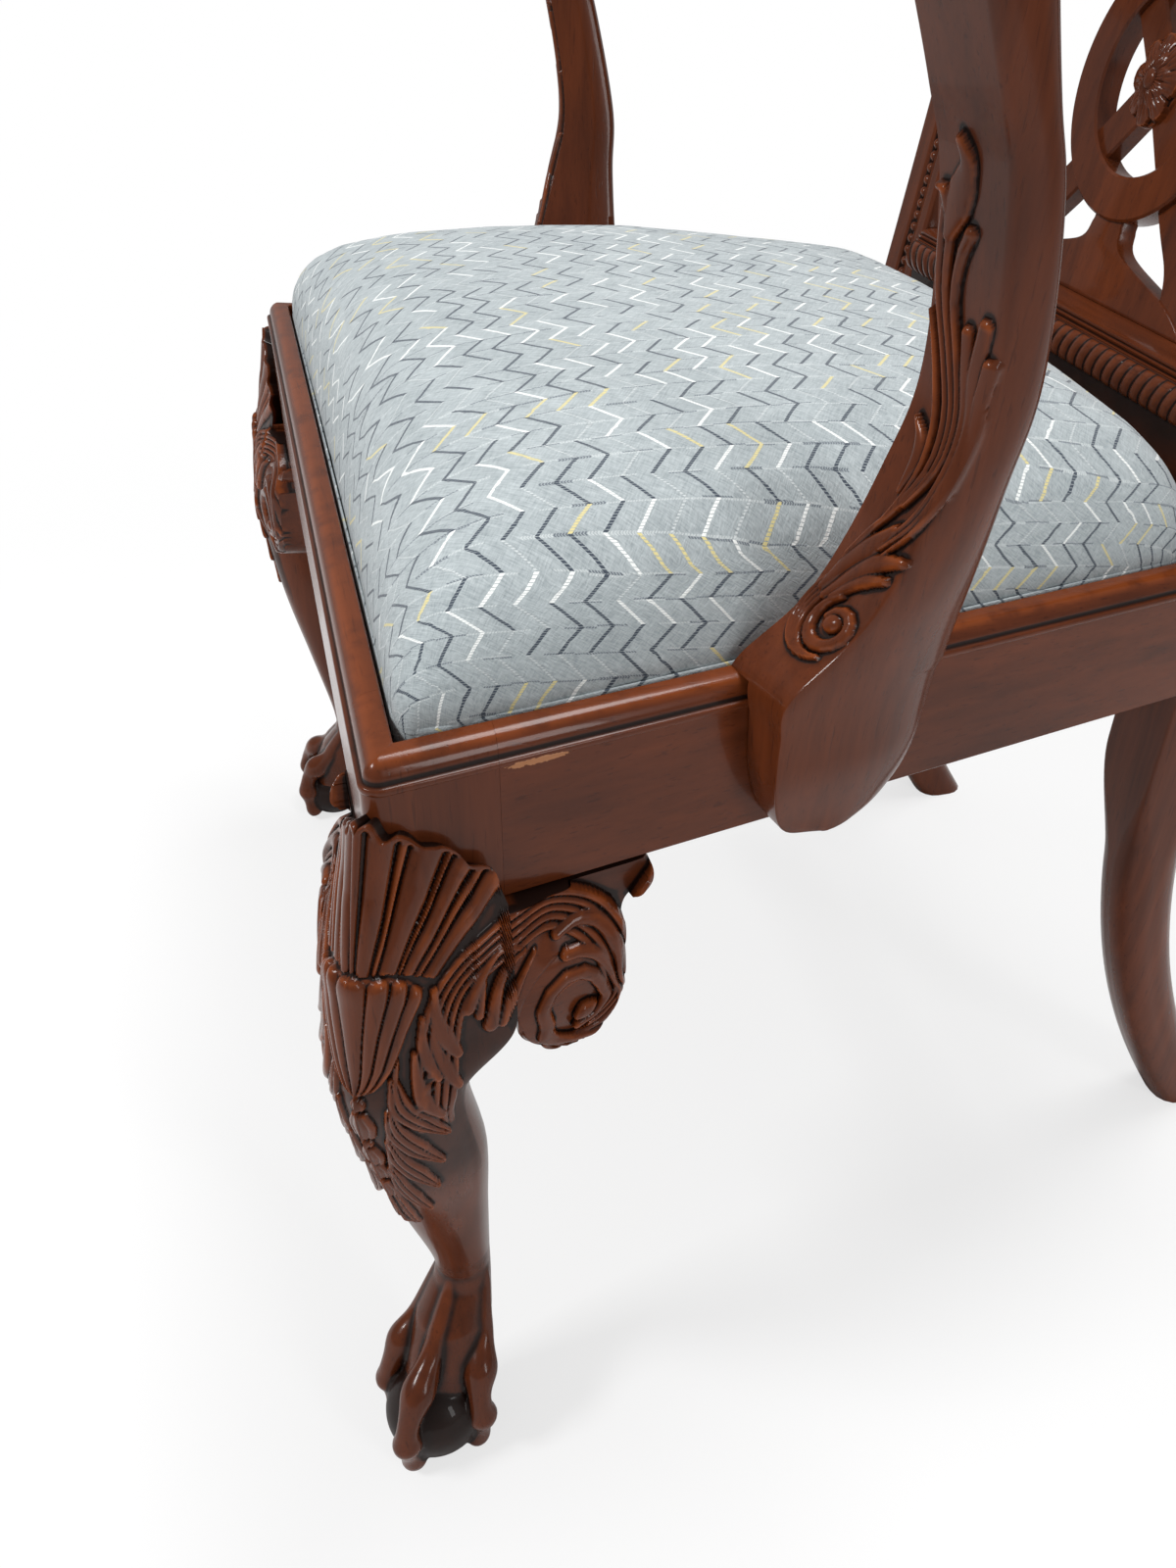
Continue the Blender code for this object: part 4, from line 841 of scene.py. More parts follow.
def lower_shell(relief):
    """The smaller shell that hangs below the waist: seven lobes with bulbous tops and a round tip."""
    q, z = relief.across, relief.up
    edge = np.interp(z, [299.0, 300.5, 303, 306, 313, 330, 345, 356], [0.01, 3.5, 7.5, 10, 14, 20, 26.5, 30])
    waist = np.interp(q, [0, 6, 13, 20, 27], [359.5, 358, 356.5, 353.5, 347])
    share = q / edge
    lobes = [(-0.19, 0.19), (0.19, 0.46), (0.46, 0.73), (0.73, 1.0)]
    height = np.zeros(q.shape)
    for start, end in lobes:
        offset = (share - (start + end) / 2) / ((end - start) / 2)
        scallop = waist - 3.4 * np.minimum(offset ** 2, 1)
        top = np.clip((scallop - z) / 5.0, 0, 1)
        bulb = 1 + 0.35 * hump(scallop - z, 5, 6)
        height = np.maximum(height, 2.3 * domed(offset) * domed(1 - top) * bulb)
    body = 1.6 * domed(share)
    inside = (share < 1) & (z < waist)
    relief.where(inside, (height + body) * eased(waist - z, -0.5, 1.5))


def knee_leaves(relief):
    """Acanthus strands that rise beside the shell, arch to the scroll, and hang below it."""
    outer = [(21, 262), (22, 300), (24, 325), (28.5, 342), (37, 353), (50, 361), (64, 366), (80, 365),
             (95, 358), (108, 346), (118, 328), (122, 308), (118, 294), (107, 286), (92, 284.5)]
    count, pitch = 5, 3.5
    reach = count * pitch + 1
    chosen, offset, share = relief.near(outer, [reach], 60)
    inward = -offset * reach
    within = (inward / pitch) % 1 * 2 - 1
    strands = (np.abs(offset) < 1) & (inward > 0) & (inward < count * pitch)
    height = (2.7 * domed(within) - 0.3) * eased(share, 0.02, 0.12)
    relief.height[chosen[strands]] = height[strands]


def knee_scroll(relief):
    """The scroll on the block, the leaves that curl over it, the hanging tongues and the ear."""
    joint = 72.0
    lobes = [
        ([(114, 306), (109, 331), (99, 345.5), (89, 349.5), (79.5, 346.5)], [1.2, 2.0, 2.8, 3.4, 2.6], 3.0),
        ([(112, 302), (108, 318), (100, 331), (92, 336.5), (84, 337.5)], [1.0, 1.7, 2.4, 3.0, 2.6], 2.8),
        ([(62, 349), (55, 351), (48.5, 343), (44, 331.5)], [1.2, 2.0, 2.8, 3.2], 2.6),
        ([(64, 347), (60, 345), (56, 336), (53.5, 320)], [1.2, 2.2, 3.2, 3.8], 2.9),
        ([(69, 344), (65.5, 339), (62, 331), (58.5, 319)], [1.2, 1.8, 2.6, 2.6], 2.6),
        ([(58, 352), (51.5, 349), (49.3, 340), (48.5, 326)], [1.0, 1.5, 2.0, 2.0], 2.0),
        ([(30, 345), (31, 332), (35, 320), (39, 312)], [1.5, 2.8, 4.2, 2.6], 2.6),
        ([(25.5, 334), (25.5, 320), (28, 310), (31, 303)], [1.4, 2.4, 3.2, 2.0], 2.4),
        ([(29, 330), (31, 316), (35, 304), (39, 296)], [1.2, 2.2, 3.4, 2.2], 2.2),
        ([(22, 318), (23, 304), (26, 292), (32, 282)], [1.4, 2.6, 3.8, 2.2], 2.5),
    ]
    for path, widths, rise in lobes:
        relief.lobe(path, widths, rise, base=1.0, fall=0.6)
    scroll = [(joint + a, z) for a, z in [
        (49, 301), (44.5, 291.5), (34, 286.8), (18, 288.2), (5.5, 301), (3.2, 314), (8, 324.5), (17.5, 327.5),
        (28.0, 320.5), (32.5, 309), (29.5, 299.5), (22.5, 297.5)]]
    inside = np.hypot(relief.across - joint - 19.5, relief.up - 307) < 15.0
    relief.where(inside, -0.6)
    relief.lobe(scroll, [1.4, 2.4, 3.1, 3.5, 3.6, 3.5, 3.3, 3.0, 2.8, 2.5], 2.8, base=1.0)
    relief.lobe([(joint + 22.0, 304.5), (joint + 24.0, 304.0)], [4.4], 3.6, base=0.8)
    ear = [(joint + 50.0, 316), (joint + 47.6, 334), (joint + 49.0, 347), (joint + 58.0, 356.5)]
    relief.lobe(ear, [2.8, 4.6, 5.4, 8.2], 4.2, base=0.8)


def lower_leaves(relief):
    """The husk chain on the arris and the leaves that die out down the leg."""
    stem = [(15, 316), (13, 292), (8.5, 268), (5, 243), (2.5, 217), (0.5, 188)]
    leaves = [
        ([(1.5, 222), (2.0, 208), (3.0, 198), (4.5, 190)], [1.6, 2.8, 3.0, 1.2]),
        ([(5.5, 248), (6.5, 232), (9.5, 219), (13.5, 208)], [1.8, 3.6, 4.4, 1.6]),
        ([(9.0, 270), (10.5, 254), (15.5, 240), (21, 228)], [2.0, 4.4, 5.4, 1.8]),
        ([(12.0, 290), (13.5, 275), (19.5, 260), (27, 248)], [2.0, 4.8, 5.8, 2.0]),
        ([(13.5, 306), (16.5, 292), (24.5, 279), (33, 268)], [2.2, 5.0, 5.8, 2.0]),
    ]
    for path, widths in leaves:
        relief.lobe(path, widths, 3.0, ridges=3, fall=0.6)
    relief.lobe(stem, [1.4, 1.3, 1.1, 0.9], 2.0)
    husks = [(294, 4, 2.4), (281, 13, 4.4), (268, 3, 2.0), (258, 11, 3.8), (245, 10, 3.4), (228, 12, 3.0)]
    for z, length, half in husks:
        top, foot = z + length / 2, z - length / 2
        relief.lobe([(0, top), (0, z), (0, foot)], [half * 0.5, half, half * 0.7], 3.2)
        relief.lobe([(half * 0.4, top), (half * 0.9, z), (half * 0.7, foot)], [half * 0.45], 2.4)


def knee_relief(across, up):
    """Carving over the knee and its side block, by distance from the arris and height, in millimetres."""
    relief = Relief(across, up)
    dome_radius = 28
    from_dome = np.hypot(relief.across - 92, relief.up - 312)
    relief.where(from_dome < dome_radius, 1.4 - 1.8 * (from_dome / dome_radius) ** 2)
    knee_leaves(relief)
    knee_scroll(relief)
    lower_leaves(relief)
    upper_shell(relief)
    lower_shell(relief)
    bare = (np.abs(relief.height) < 0.01) & above_arch(relief.across, relief.up)
    relief.where(bare, -2.4 * eased(relief.across, 62, 80))
    return relief.done()


def front_leg_pieces():
    """The carved legs, their square tops, the blocks beside them and the claw feet."""
    places, share = knee_grid()
    across = arc_from_arris(places)
    outer = slice(0, OUTER_COLUMNS + 1)
    raised = np.zeros(across.shape)
    raised[:, outer] = knee_relief(across[:, outer], places[:, outer, 2] / MM)
    raised[:, outer] *= eased(places[:, outer, 2], 0.180, 0.196)
    below_rim = (places[-1:, :, 2] - places[..., 2]) / MM
    lip = (1 - eased(below_rim, 0.9, 2.6)) * (share < 0.93)
    raised += lip * (np.maximum(raised, 2.1) - raised)
    skin = places + outward(places, share) * (raised * MM)[..., None]
    centre = CORNER - BISECTOR * 0.030
    ledges = []
    for inward, drop in ((0.02, -0.0004), (0.06, -0.0004), (0.16, 0.0004), (0.5, 0.002)):
        ledge = skin[-1:].copy()
        ledge[..., :2] += (centre - ledge[..., :2]) * inward
        ledge[..., 2] -= drop
        ledges.append(ledge)
    # The flat ground among the carving is darkened, as dark glazing and painted shade.
    ground = 0.4 * (raised < 0.1) * eased(places[..., 2], 0.20, 0.24) * (share <= 1)
    hollow = carved_hollows(raised) + ground
    # The ledges under the shell's rim are darkened, as dark glazing and a painted shadow.
    dark = np.array([0.0, 0.2, 1.0, 1.0])[:, None] * np.ones((4, share.shape[1]))
    hollow = np.concatenate([hollow, dark])
    half = np.concatenate([skin, *ledges])
    whole = np.concatenate([mirrored_at_corner(half)[:, :0:-1], half[:, :-1]], axis=1)
    leg = rolled(whole, np.concatenate([hollow[:, :0:-1], hollow[:, :-1]], axis=1))
    joint_arc = np.stack([places[:, OUTER_COLUMNS, 2], across[:, OUTER_COLUMNS]], -1)
    post = rolled(np.swapaxes(corner_post(), 0, 1))
    foot = claw_foot()
    wooden_pair("carved_knee", leg, UPRIGHT_GRAIN, "front_leg")
    wooden_pair("corner_post", post, UPRIGHT_GRAIN, "front_leg", hollow=mould_hollows(post))
    wooden_pair("claw_foot", foot, UPRIGHT_GRAIN, "front_leg")
    block = block_mesh(joint_arc)
    front_block = block.copy()
    carried = mirrored_at_corner(np.array([vert.co for vert in block.verts]))
    set_places(front_block, carried)
    bmesh.ops.reverse_faces(front_block, faces=front_block.faces)
    wooden_pair("carved_block_side", block, SIDE_GRAIN, "knee_block_side")
    wooden_pair("carved_block_front", front_block, CROSS_GRAIN, "knee_block_front")


def block_mesh(joint_arc):
    """The side block: its carved face, and walls back to the rail's inner side."""
    reach, ear_out, scroll, radius = 0.0660, 0.0085, (0.0245, 0.3100), 0.0248
    rows, columns, wall = 132, 112, 5
    ground_out, joint_width = 0.0008, 0.030
    low, high = scroll[1] - radius, RAIL_BOTTOM - JOINT_GAP
    z = np.linspace(low, high, rows + 1)
    far_edge = [(low, 0.034), (0.2885, 0.0420), (0.2960, 0.0490), (0.3080, 0.0520), (0.3220, 0.0522),
                (0.3360, 0.0522), (0.3430, 0.0530), (0.3475, 0.0560), (0.3510, 0.0622), (0.3550, 0.0655),
                (0.3600, reach), (high, 0.0640)]
    right = np.interp(z, *through(far_edge, 120).T)
    drop = np.sqrt(np.maximum(radius ** 2 - (z - scroll[1]) ** 2, 0))
    left = np.where(z < scroll[1], np.maximum(scroll[0] - drop, 0.0), 0.0)
    share = np.linspace(0, 1, columns + 1)
    along = left[:, None] + (right - left)[:, None] * share
    level = np.broadcast_to(z[:, None], along.shape)
    joint = between(z, JOINT_REACH)[:, None]
    out = joint + (ear_out - joint) * np.clip(along / reach, 0, 1) ** 1.3
    out = out - 0.8 * (out - 0.0035) * eased(along, 0.002, 0.020) * eased(level, 0.332, 0.358)
    across = np.interp(level, joint_arc[:, 0], joint_arc[:, 1]) + along / MM
    raised = knee_relief(across, level / MM)
    bare = (raised < 0.01) & above_arch(across, level / MM)
    from_left = along - left[:, None] + np.where(left > 0, 0, 1)[:, None]
    edge = np.minimum(right[:, None] - along, from_left)
    carved = out + raised * MM - 0.0030 * (1 - eased(edge, 0.0, 0.0030))
    sunk = out + (ground_out - out) * eased(along, 0.0, joint_width)
    out = np.where(bare, np.minimum(sunk, carved), carved)
    face = beside(POST + JOINT_GAP + along - out * TAN, out, level)
    back_out = -0.020
    behind = beside(POST + JOINT_GAP + along - back_out * TAN, np.full_like(out, back_out), level)
    depths = np.linspace(1, 0, wall + 1)[1:-1]
    walls = [face[:, side, None] * depths[:, None] + behind[:, side, None] * (1 - depths[:, None])
             for side in (0, -1)]
    left_wall, right_wall = walls[0][:, ::-1], walls[1]
    grid = np.concatenate([behind[:, :1], left_wall, face, right_wall, behind[:, -1:]], axis=1)
    capped = np.concatenate([grid, grid[-1:].copy()])
    middle = capped[-1].mean(axis=0)
    capped[-1] += (middle - capped[-1]) * 0.2
    plain = np.zeros((rows + 1, wall))
    # The bare ground is darkened a little, as dark glazing and painted shade, and the top cap under the rail
    # strongly, as painted shade.
    hollow = np.concatenate([plain, carved_hollows(raised) + 0.3 * bare, plain], axis=1)
    hollow = np.concatenate([hollow, np.full((1, hollow.shape[1]), 0.8)])
    return rolled(capped, hollow)


def claw_foot():
    """Ball, four knuckled claws and the ankle, melted into one carved foot."""
    rows, sides, claw_steps = 60, 48, 48
    middle = CORNER - BISECTOR * 0.003 * math.sqrt(2)
    height = BALL_RADIUS - 0.0025
    ball = bmesh.new()
    bmesh.ops.create_uvsphere(ball, u_segments=64, v_segments=40, radius=BALL_RADIUS)
    bmesh.ops.translate(ball, vec=(*middle, height), verts=ball.verts)
    z = np.linspace(0.038, LEG_PIECE_FOOT + 0.004, rows)
    share = np.linspace(0, 4, sides, endpoint=False)
    share, level = np.broadcast_arrays(share, z[:, None])
    ring = leg_plan(share, level)
    ankle = rolled(np.concatenate([ring, level[..., None]], -1))
    ankle_middle = ring.mean(axis=1)
    claws = []
    reach = [(0.0096, 0.108), (0.0140, 0.088), (0.0188, 0.070), (0.0240, 0.054), (0.0276, 0.038),
             (0.0276, 0.024), (0.0250, 0.012), (0.0226, 0.0068)]
    path = through(reach, claw_steps)
    toward_ball = 1 - eased(path[:, 1], 0.036, 0.075)
    on_ankle = np.stack([np.interp(path[:, 1], z, ankle_middle[:, k]) for k in range(2)], -1)
    axis_at = on_ankle + (middle - on_ankle) * toward_ball[:, None]
    along = np.linspace(0, 1, claw_steps)
    knuckles = 0.0030 * hump(along, 0.50, 0.07) + 0.0026 * hump(along, 0.76, 0.055)
    talon = 0.0018 * hump(along, 0.97, 0.06)
    stations = [(0, 0.0034), (0.2, 0.0050), (0.45, 0.0062), (0.7, 0.0056), (0.85, 0.0050), (1.0, 0.0048)]
    radii = np.interp(along, *np.array(stations).T)
    for turn in np.radians([0, 90, 180, 270]):
        places = np.column_stack([axis_at + path[:, :1] * turned_bisector(turn), path[:, 1]])
        claws.append(tube(places, radii + knuckles + talon, 20))
    skin = remeshed(joined(ball, ankle, *claws), 0.0010, 4)
    # The whole foot is darkened, the ball most, as dark glazing and painted shade.
    marks = skin.verts.layers.float.new("glaze_and_shade")
    centre, skin_depth, ball_glaze_and_shade, claw_glaze_and_shade = Vector((*middle, height)), 0.0011, 0.70, 0.28
    for vert in skin.verts:
        vert.co.z = max(vert.co.z, 0.0)
        on_ball = abs((vert.co - centre).length - BALL_RADIUS) < skin_depth
        vert[marks] = ball_glaze_and_shade if on_ball else claw_glaze_and_shade
    return skin


# Arm supports with their carved fronts

SUPPORT_FROM_FRONT = 0.205
SUPPORT_PROUD = 0.025
SUPPORT_LEAN = 0.036
SUPPORT_FRONT_EDGE = [(-0.0750, 0.0), (-0.0743, -0.0190), (-0.0680, -0.0330), (-0.0435, -0.0420),
                      (-0.0165, -0.0440), (0.0050, -0.0440), (0.0361, -0.0190), (0.0903, -0.0020),
                      (0.1290, 0.0050), (0.1910, -0.0035), (0.2193, -0.0141), (0.2580, -0.0320)]
SUPPORT_REAR_EDGE = [(-0.0750, 0.0), (-0.0736, 0.0130), (-0.0645, 0.0270), (-0.0410, 0.0390),
                     (0.0, 0.0430), (0.0050, 0.0440), (0.0361, 0.0415), (0.0903, 0.0385),
                     (0.1290, 0.0385), (0.1910, 0.0255), (0.2193, 0.0150), (0.2580, 0.0035)]


def curl(centre, radii, start, end, count):
    """Places on a spiral from one radius and angle to another, in degrees."""
    turns = np.radians(np.linspace(start, end, count))
    return [tuple(centre + np.array([math.cos(turn), math.sin(turn)]) * size)
            for turn, size in zip(turns, np.linspace(*radii, count))]


def support_relief(across, up, climb):
    """Leaves on the support's front: a scroll at its foot, a three-part leaf and strands to a hooked tip."""
    relief = Relief(across, up)
    centre = np.array([11.5, float(climb(31.0))])
    for size in (16.0, 18.8, 21.6, 24.4):
        strand = curl(centre, (size + 2, 12.0 + 0.16 * size), 112, 296, 16)
        relief.lobe(strand, [1.0, 1.6, 1.6, 0.6], 2.4)
    scroll = curl(centre, (13.0, 5.6), 120, 520, 24)
    relief.lobe(scroll, [2.0, 2.8, 3.2, 2.8, 2.2], 2.8, base=0.4)
    relief.lobe([(10.6, centre[1] + 0.6), (11.6, centre[1] + 0.6)], [4.4], 3.4, base=0.8)
    strands = [
        ([(4, 78), (11, 97), (8, 115), (0, 134), (-8, 156), (-9, 172), (-8, 184)],
         [1.0, 1.6, 1.8, 1.8, 1.7, 1.8, 1.9]),
        ([(7, 80), (14, 98), (11, 116), (3, 135), (-4.4, 156), (-5, 172), (-3, 184)],
         [1.0, 1.5, 1.7, 1.8, 1.8, 1.9, 2.4]),
        ([(9, 82), (16, 99), (13.6, 117), (5.6, 138), (0.2, 156), (1.6, 170), (5.4, 178)],
         [1.0, 1.4, 1.6, 1.7, 1.7, 2.1, 2.9]),
        ([(8, 66), (17, 82), (19.4, 100), (17.0, 118), (11.6, 134), (9, 147)],
         [1.2, 1.7, 1.9, 2.3, 3.0, 2.8]),
        ([(9, 64), (19, 80), (21.8, 99), (20.2, 117), (16.2, 134), (17.6, 151)],
         [1.2, 1.7, 1.8, 2.4, 4.0, 3.4]),
        ([(12, 63), (20, 77), (23.4, 96), (23.0, 112), (21.0, 126), (22, 139)],
         [1.0, 1.3, 1.4, 1.8, 2.6, 2.8]),
        ([(-6, 54), (2, 73), (7, 92), (5, 108), (-3, 128), (-11, 150)], [0.9, 1.3, 1.5, 1.5, 1.4, 1.0]),
        ([(3, 86), (3, 98), (0, 106), (-6, 112)], [1.4, 3.0, 3.2, 1.2]),
        ([(-6, 56), (-1, 68), (6, 80), (12, 96)], [1.2, 1.8, 1.8, 1.2]),
    ]
    leaves = [
        ([(-5, 176), (-2, 186), (1.5, 194), (3.4, 200), (1.0, 206)], [3.0, 6.4, 6.0, 3.4, 2.0]),
        ([(-6, 184), (-8, 189), (-11, 190)], [2.0, 2.4, 1.4]),
        ([(-7, 40), (-3, 52), (4, 63), (11, 73)], [2.4, 4.2, 5.2, 2.6]),
        ([(-3, 38), (4, 50), (12, 59), (22, 64)], [2.4, 4.0, 4.8, 2.4]),
        ([(1, 39), (7, 47), (13, 52), (20, 55)], [1.8, 2.8, 3.4, 2.0]),
    ]
    for group, rise, base in ((strands, 2.7, 0.3), (leaves, 2.4, 1.0)):
        for path, widths in group:
            lifted = [(offset, float(climb(level))) for offset, level in path]
            relief.lobe(lifted, widths, rise, base=base)
    return relief.done()


def arm_support():
    """The sweeping support: a carved front, a round outer side and a bowl-shaped foot on the rail."""
    front_columns, arris = 88, 0.0045
    below = -0.07495 * np.cos(np.linspace(0, math.pi / 2, 44))
    above = [np.linspace(1e-6, 0.046, 96), np.linspace(0.046, 0.214, 190)[1:],
             np.linspace(0.214, SUPPORT_RISE, 26)[1:]]
    rise = np.concatenate([below[:-1], [-1e-6], *above])
    front, rear = between(rise, SUPPORT_FRONT_EDGE), between(rise, SUPPORT_REAR_EDGE)
    shifts = np.linspace(-0.032, 0.032, 17)[:, None]
    lean, *leans = (SUPPORT_LEAN * (1 - (1 - np.clip(at / SUPPORT_RISE, 0, 1)) ** 2.8)
                    for at in (rise, *(rise + shifts)))
    gradual = np.mean(leans, axis=0) - lean
    inner = np.where(rise > 0, -BAND, JOINT_GAP)
    outer = SUPPORT_PROUD - 0.008 * eased(-rise, 0.030, 0.078)
    rounding = np.maximum(arris * eased(rise, 0.020, 0.075), 0.0012)
    t = np.linspace(0, 1, 24)[1:, None]
    turn_in = 0.0060 - 0.0120 * eased(rise, 0.02, 0.10)
    soft = between(np.clip(rise + shifts, -0.0749, SUPPORT_RISE), SUPPORT_FRONT_EDGE).mean(axis=0)
    corners = [(outer, front + rounding), (outer + 0.0045, soft + rounding + 0.42 * (rear - soft)),
               (outer + 0.0030, rear), (turn_in, rear)]
    side_across, side_along = (cubic(t, [corner[k] for corner in corners]).T for k in (0, 1))
    thick = rear - front
    ends = [(inner + 0.0040, rear - 0.010 * thick), (inner + 0.0012, rear - 0.05 * thick),
            (inner, rear - 0.12 * thick), (inner, front + 0.5 * thick), (inner, front + 0.05 * thick),
            (inner + 0.0006, front)]
    face_start = inner + 0.0010
    face_across = face_start[:, None] + (outer - face_start)[:, None] * np.linspace(0, 1, front_columns + 1)
    into_round = np.clip((face_across - outer[:, None]) / rounding[:, None] + 1, 0, 1)
    face_along = front[:, None] + rounding[:, None] * (1 - domed(into_round))
    across = np.concatenate([face_across, side_across, np.stack([pair[0] for pair in ends], 1)], axis=1)
    along = np.concatenate([face_along, side_along, np.stack([pair[1] for pair in ends], 1)], axis=1)
    level = np.broadcast_to((RAIL_TOP + rise)[:, None], across.shape)
    outward_share = eased(across, inner[:, None], outer[:, None]) * eased(-rise, -0.19, -0.14)[:, None]
    leaning = lean[:, None] + gradual[:, None] * outward_share
    places = beside(SUPPORT_FROM_FRONT + along, leaning + across, level)
    climbs = np.concatenate([[0.0], np.cumsum(np.hypot(np.diff(rise), np.diff(front)))]) / MM
    climbs = climbs - np.interp(0.005, rise, climbs)
    flat = places[:, :front_columns + 1]
    raised = support_relief(face_across / MM, np.broadcast_to(climbs[:, None], face_across.shape),
                            lambda height: np.interp(height * MM, rise, climbs))
    edge = np.minimum(face_across - face_start[:, None], outer[:, None] - face_across)
    raised = raised * eased(edge, 0.0, 0.0012) * eased(rise, 0.004, 0.012)[:, None]
    places[:, :front_columns + 1] = flat + square_to(flat) * (raised * MM)[..., None]
    hollow = np.zeros(across.shape)
    # The flat ground among the strands is darkened a little, as dark glazing and painted shade.
    ground = 0.12 * (raised < 0.05) * eased(rise, 0.01, 0.03)[:, None]
    hollow[:, :front_columns + 1] = carved_hollows(raised) * eased(edge, 0.0, 0.005) + ground
    wooden_pair("carved_arm_support", rolled(places, hollow), UPRIGHT_GRAIN, "arm_support")


# Arms with scrolled hand-holds

ARM_THICKNESS = 0.028
ARM_WIDTH = 0.042
HAND_RADIUS = 0.021
HAND_WIDTH = 0.047


def arms():
    """The arm's rounded bar from the hand-hold, over its support, to the back post."""
    middle = ARM_UNDERSIDE + ARM_THICKNESS / 2
    out = SUPPORT_LEAN + (SUPPORT_PROUD - BAND) / 2
    over = beside(SUPPORT_FROM_FRONT - 0.016, out, middle)
    hand = beside(0.112, out, middle - 0.003)
    rise = (middle - RAIL_TOP) / math.cos(LEAN)
    rear = on_back(stile_outer(rise) - stile_width(rise) / 2, rise, 0.010)
    sweep = np.array([0.016, 0.0, 0.0])
    bowed = [over + (rear - over) * 0.36 + sweep, over + (rear - over) * 0.72 + sweep / 2]
    path = through([hand, over, *bowed, rear], 90)
    ahead = np.gradient(path, axis=0)
    across = np.stack([ahead[:, 1], -ahead[:, 0], np.zeros(len(path))], -1)
    across /= np.linalg.norm(across, axis=1)[:, None]
    half = ARM_WIDTH / 2 * (1 - 0.22 * np.linspace(0, 1, len(path)))
    turns = np.linspace(0, math.tau, 48, endpoint=False)
    wide, high = (np.sign(value) * np.abs(value) ** 0.72 for value in (np.cos(turns), np.sin(turns)))
    rings = path[:, None] + across[:, None] * (half[:, None] * wide)[..., None]
    rings[..., 2] += high * ARM_THICKNESS / 2
    bar = rolled(rings)
    axle = np.array([COS, SIN, 0.0])
    drop = np.array([0.0, 0.0, HAND_RADIUS - ARM_THICKNESS / 2 - 0.003])
    start = hand - axle * HAND_WIDTH / 2 - drop
    wooden_pair("polished_arm", joined(bar, hand_roll(start, axle)), SIDE_GRAIN, "arm")


def hand_roll(start, axle):
    """A roll across the arm's front end, with a carved spiral on its two faces."""
    spokes = np.linspace(0, math.tau, 96, endpoint=False)
    steps = np.linspace(0, 1, 26)[:, None]
    windings, rim = 2.4, 0.86
    spiral = steps * windings - spokes / math.tau
    cut = 0.0011 * hump(spiral % 1.0, 0.5, 0.16) * eased(steps, 0.16, 0.3)
    cut = cut * (1 - eased(steps, rim, 0.96))
    button = 0.0012 * domed(steps / 0.2)
    edge = 0.0030 * (1 - domed(np.clip((steps - rim) / (1 - rim), 0, 1)))
    faces = cut - button + edge
    reach = np.concatenate([steps, steps[::-1]]) * HAND_RADIUS
    far = np.concatenate([faces, HAND_WIDTH - faces[::-1]])
    up = np.array([0.0, 0.0, 1.0])
    round_about = np.cos(spokes)[:, None] * np.cross(axle, up) + np.sin(spokes)[:, None] * up
    return rolled(start + far[..., None] * axle + reach[..., None] * round_about)


# Back posts with their beaded faces

STILE_LENGTH = 0.490
BACK_POST_WIDTH = 0.046
BACK_POST_DEPTH = 0.042
KICK = 0.105
KICK_HEIGHT = 0.310


def stile_outer(rise):
    """Outer edge of the left stile, as distance from the chair's middle."""
    return HALF_REAR + 0.028 * np.clip(np.asarray(rise) / STILE_LENGTH, 0, 1) ** 1.4


def stile_width(rise):
    """Width of a stile at a distance up it."""
    return BACK_POST_WIDTH - 0.006 * np.clip(np.asarray(rise) / STILE_LENGTH, 0, 1)


def post_ring(width, depth, corner, face_columns):
    """Distance in from the outer edge and depth behind the face, round a post at each height."""
    arc = np.linspace(0, math.pi / 2, 5)[1:-1]
    bends = [(corner * math.sin(turn), corner * math.cos(turn)) for turn in arc]
    right, rear, none = width - corner, depth - corner, 0 * width
    wide, deep = right - corner, rear - corner
    points = [(corner + wide * share, none) for share in np.linspace(0, 1, face_columns + 1)]
    points += [(right + sine, corner - cosine) for sine, cosine in bends]
    points += [(width, corner + deep * share) for share in np.linspace(0, 1, 5)]
    points += [(right + cosine, rear + sine) for sine, cosine in bends]
    points += [(corner + wide * share, depth) for share in np.linspace(1, 0, 7)]
    points += [(corner - sine, rear + cosine) for sine, cosine in bends]
    points += [(none, corner + deep * share) for share in np.linspace(1, 0, 5)]
    points += [(corner - cosine, corner - sine) for sine, cosine in bends]
    return np.stack([point[0] for point in points], 1), np.stack([point[1] for point in points], 1)


def stile_relief(inset, rise):
    """A string of beads in a channel between two flat strips, in metres over the stile's face."""
    pitch, radius, row, sunk = 0.0078, 0.0034, 0.0265, 0.0014
    from_row = np.abs(inset - row)
    strip = eased(from_row, 0.0036, 0.0046)
    height = 0.0008 * strip - sunk * (1 - strip) - 0.0009 * hump(from_row, 0.0062, 0.0007)
    along = (rise / pitch) % 1 * pitch - pitch / 2
    bead = domed(np.hypot(from_row, along) / radius)
    return np.maximum(height, np.where(bead > 0, 0.0030 * bead - sunk, -1.0))


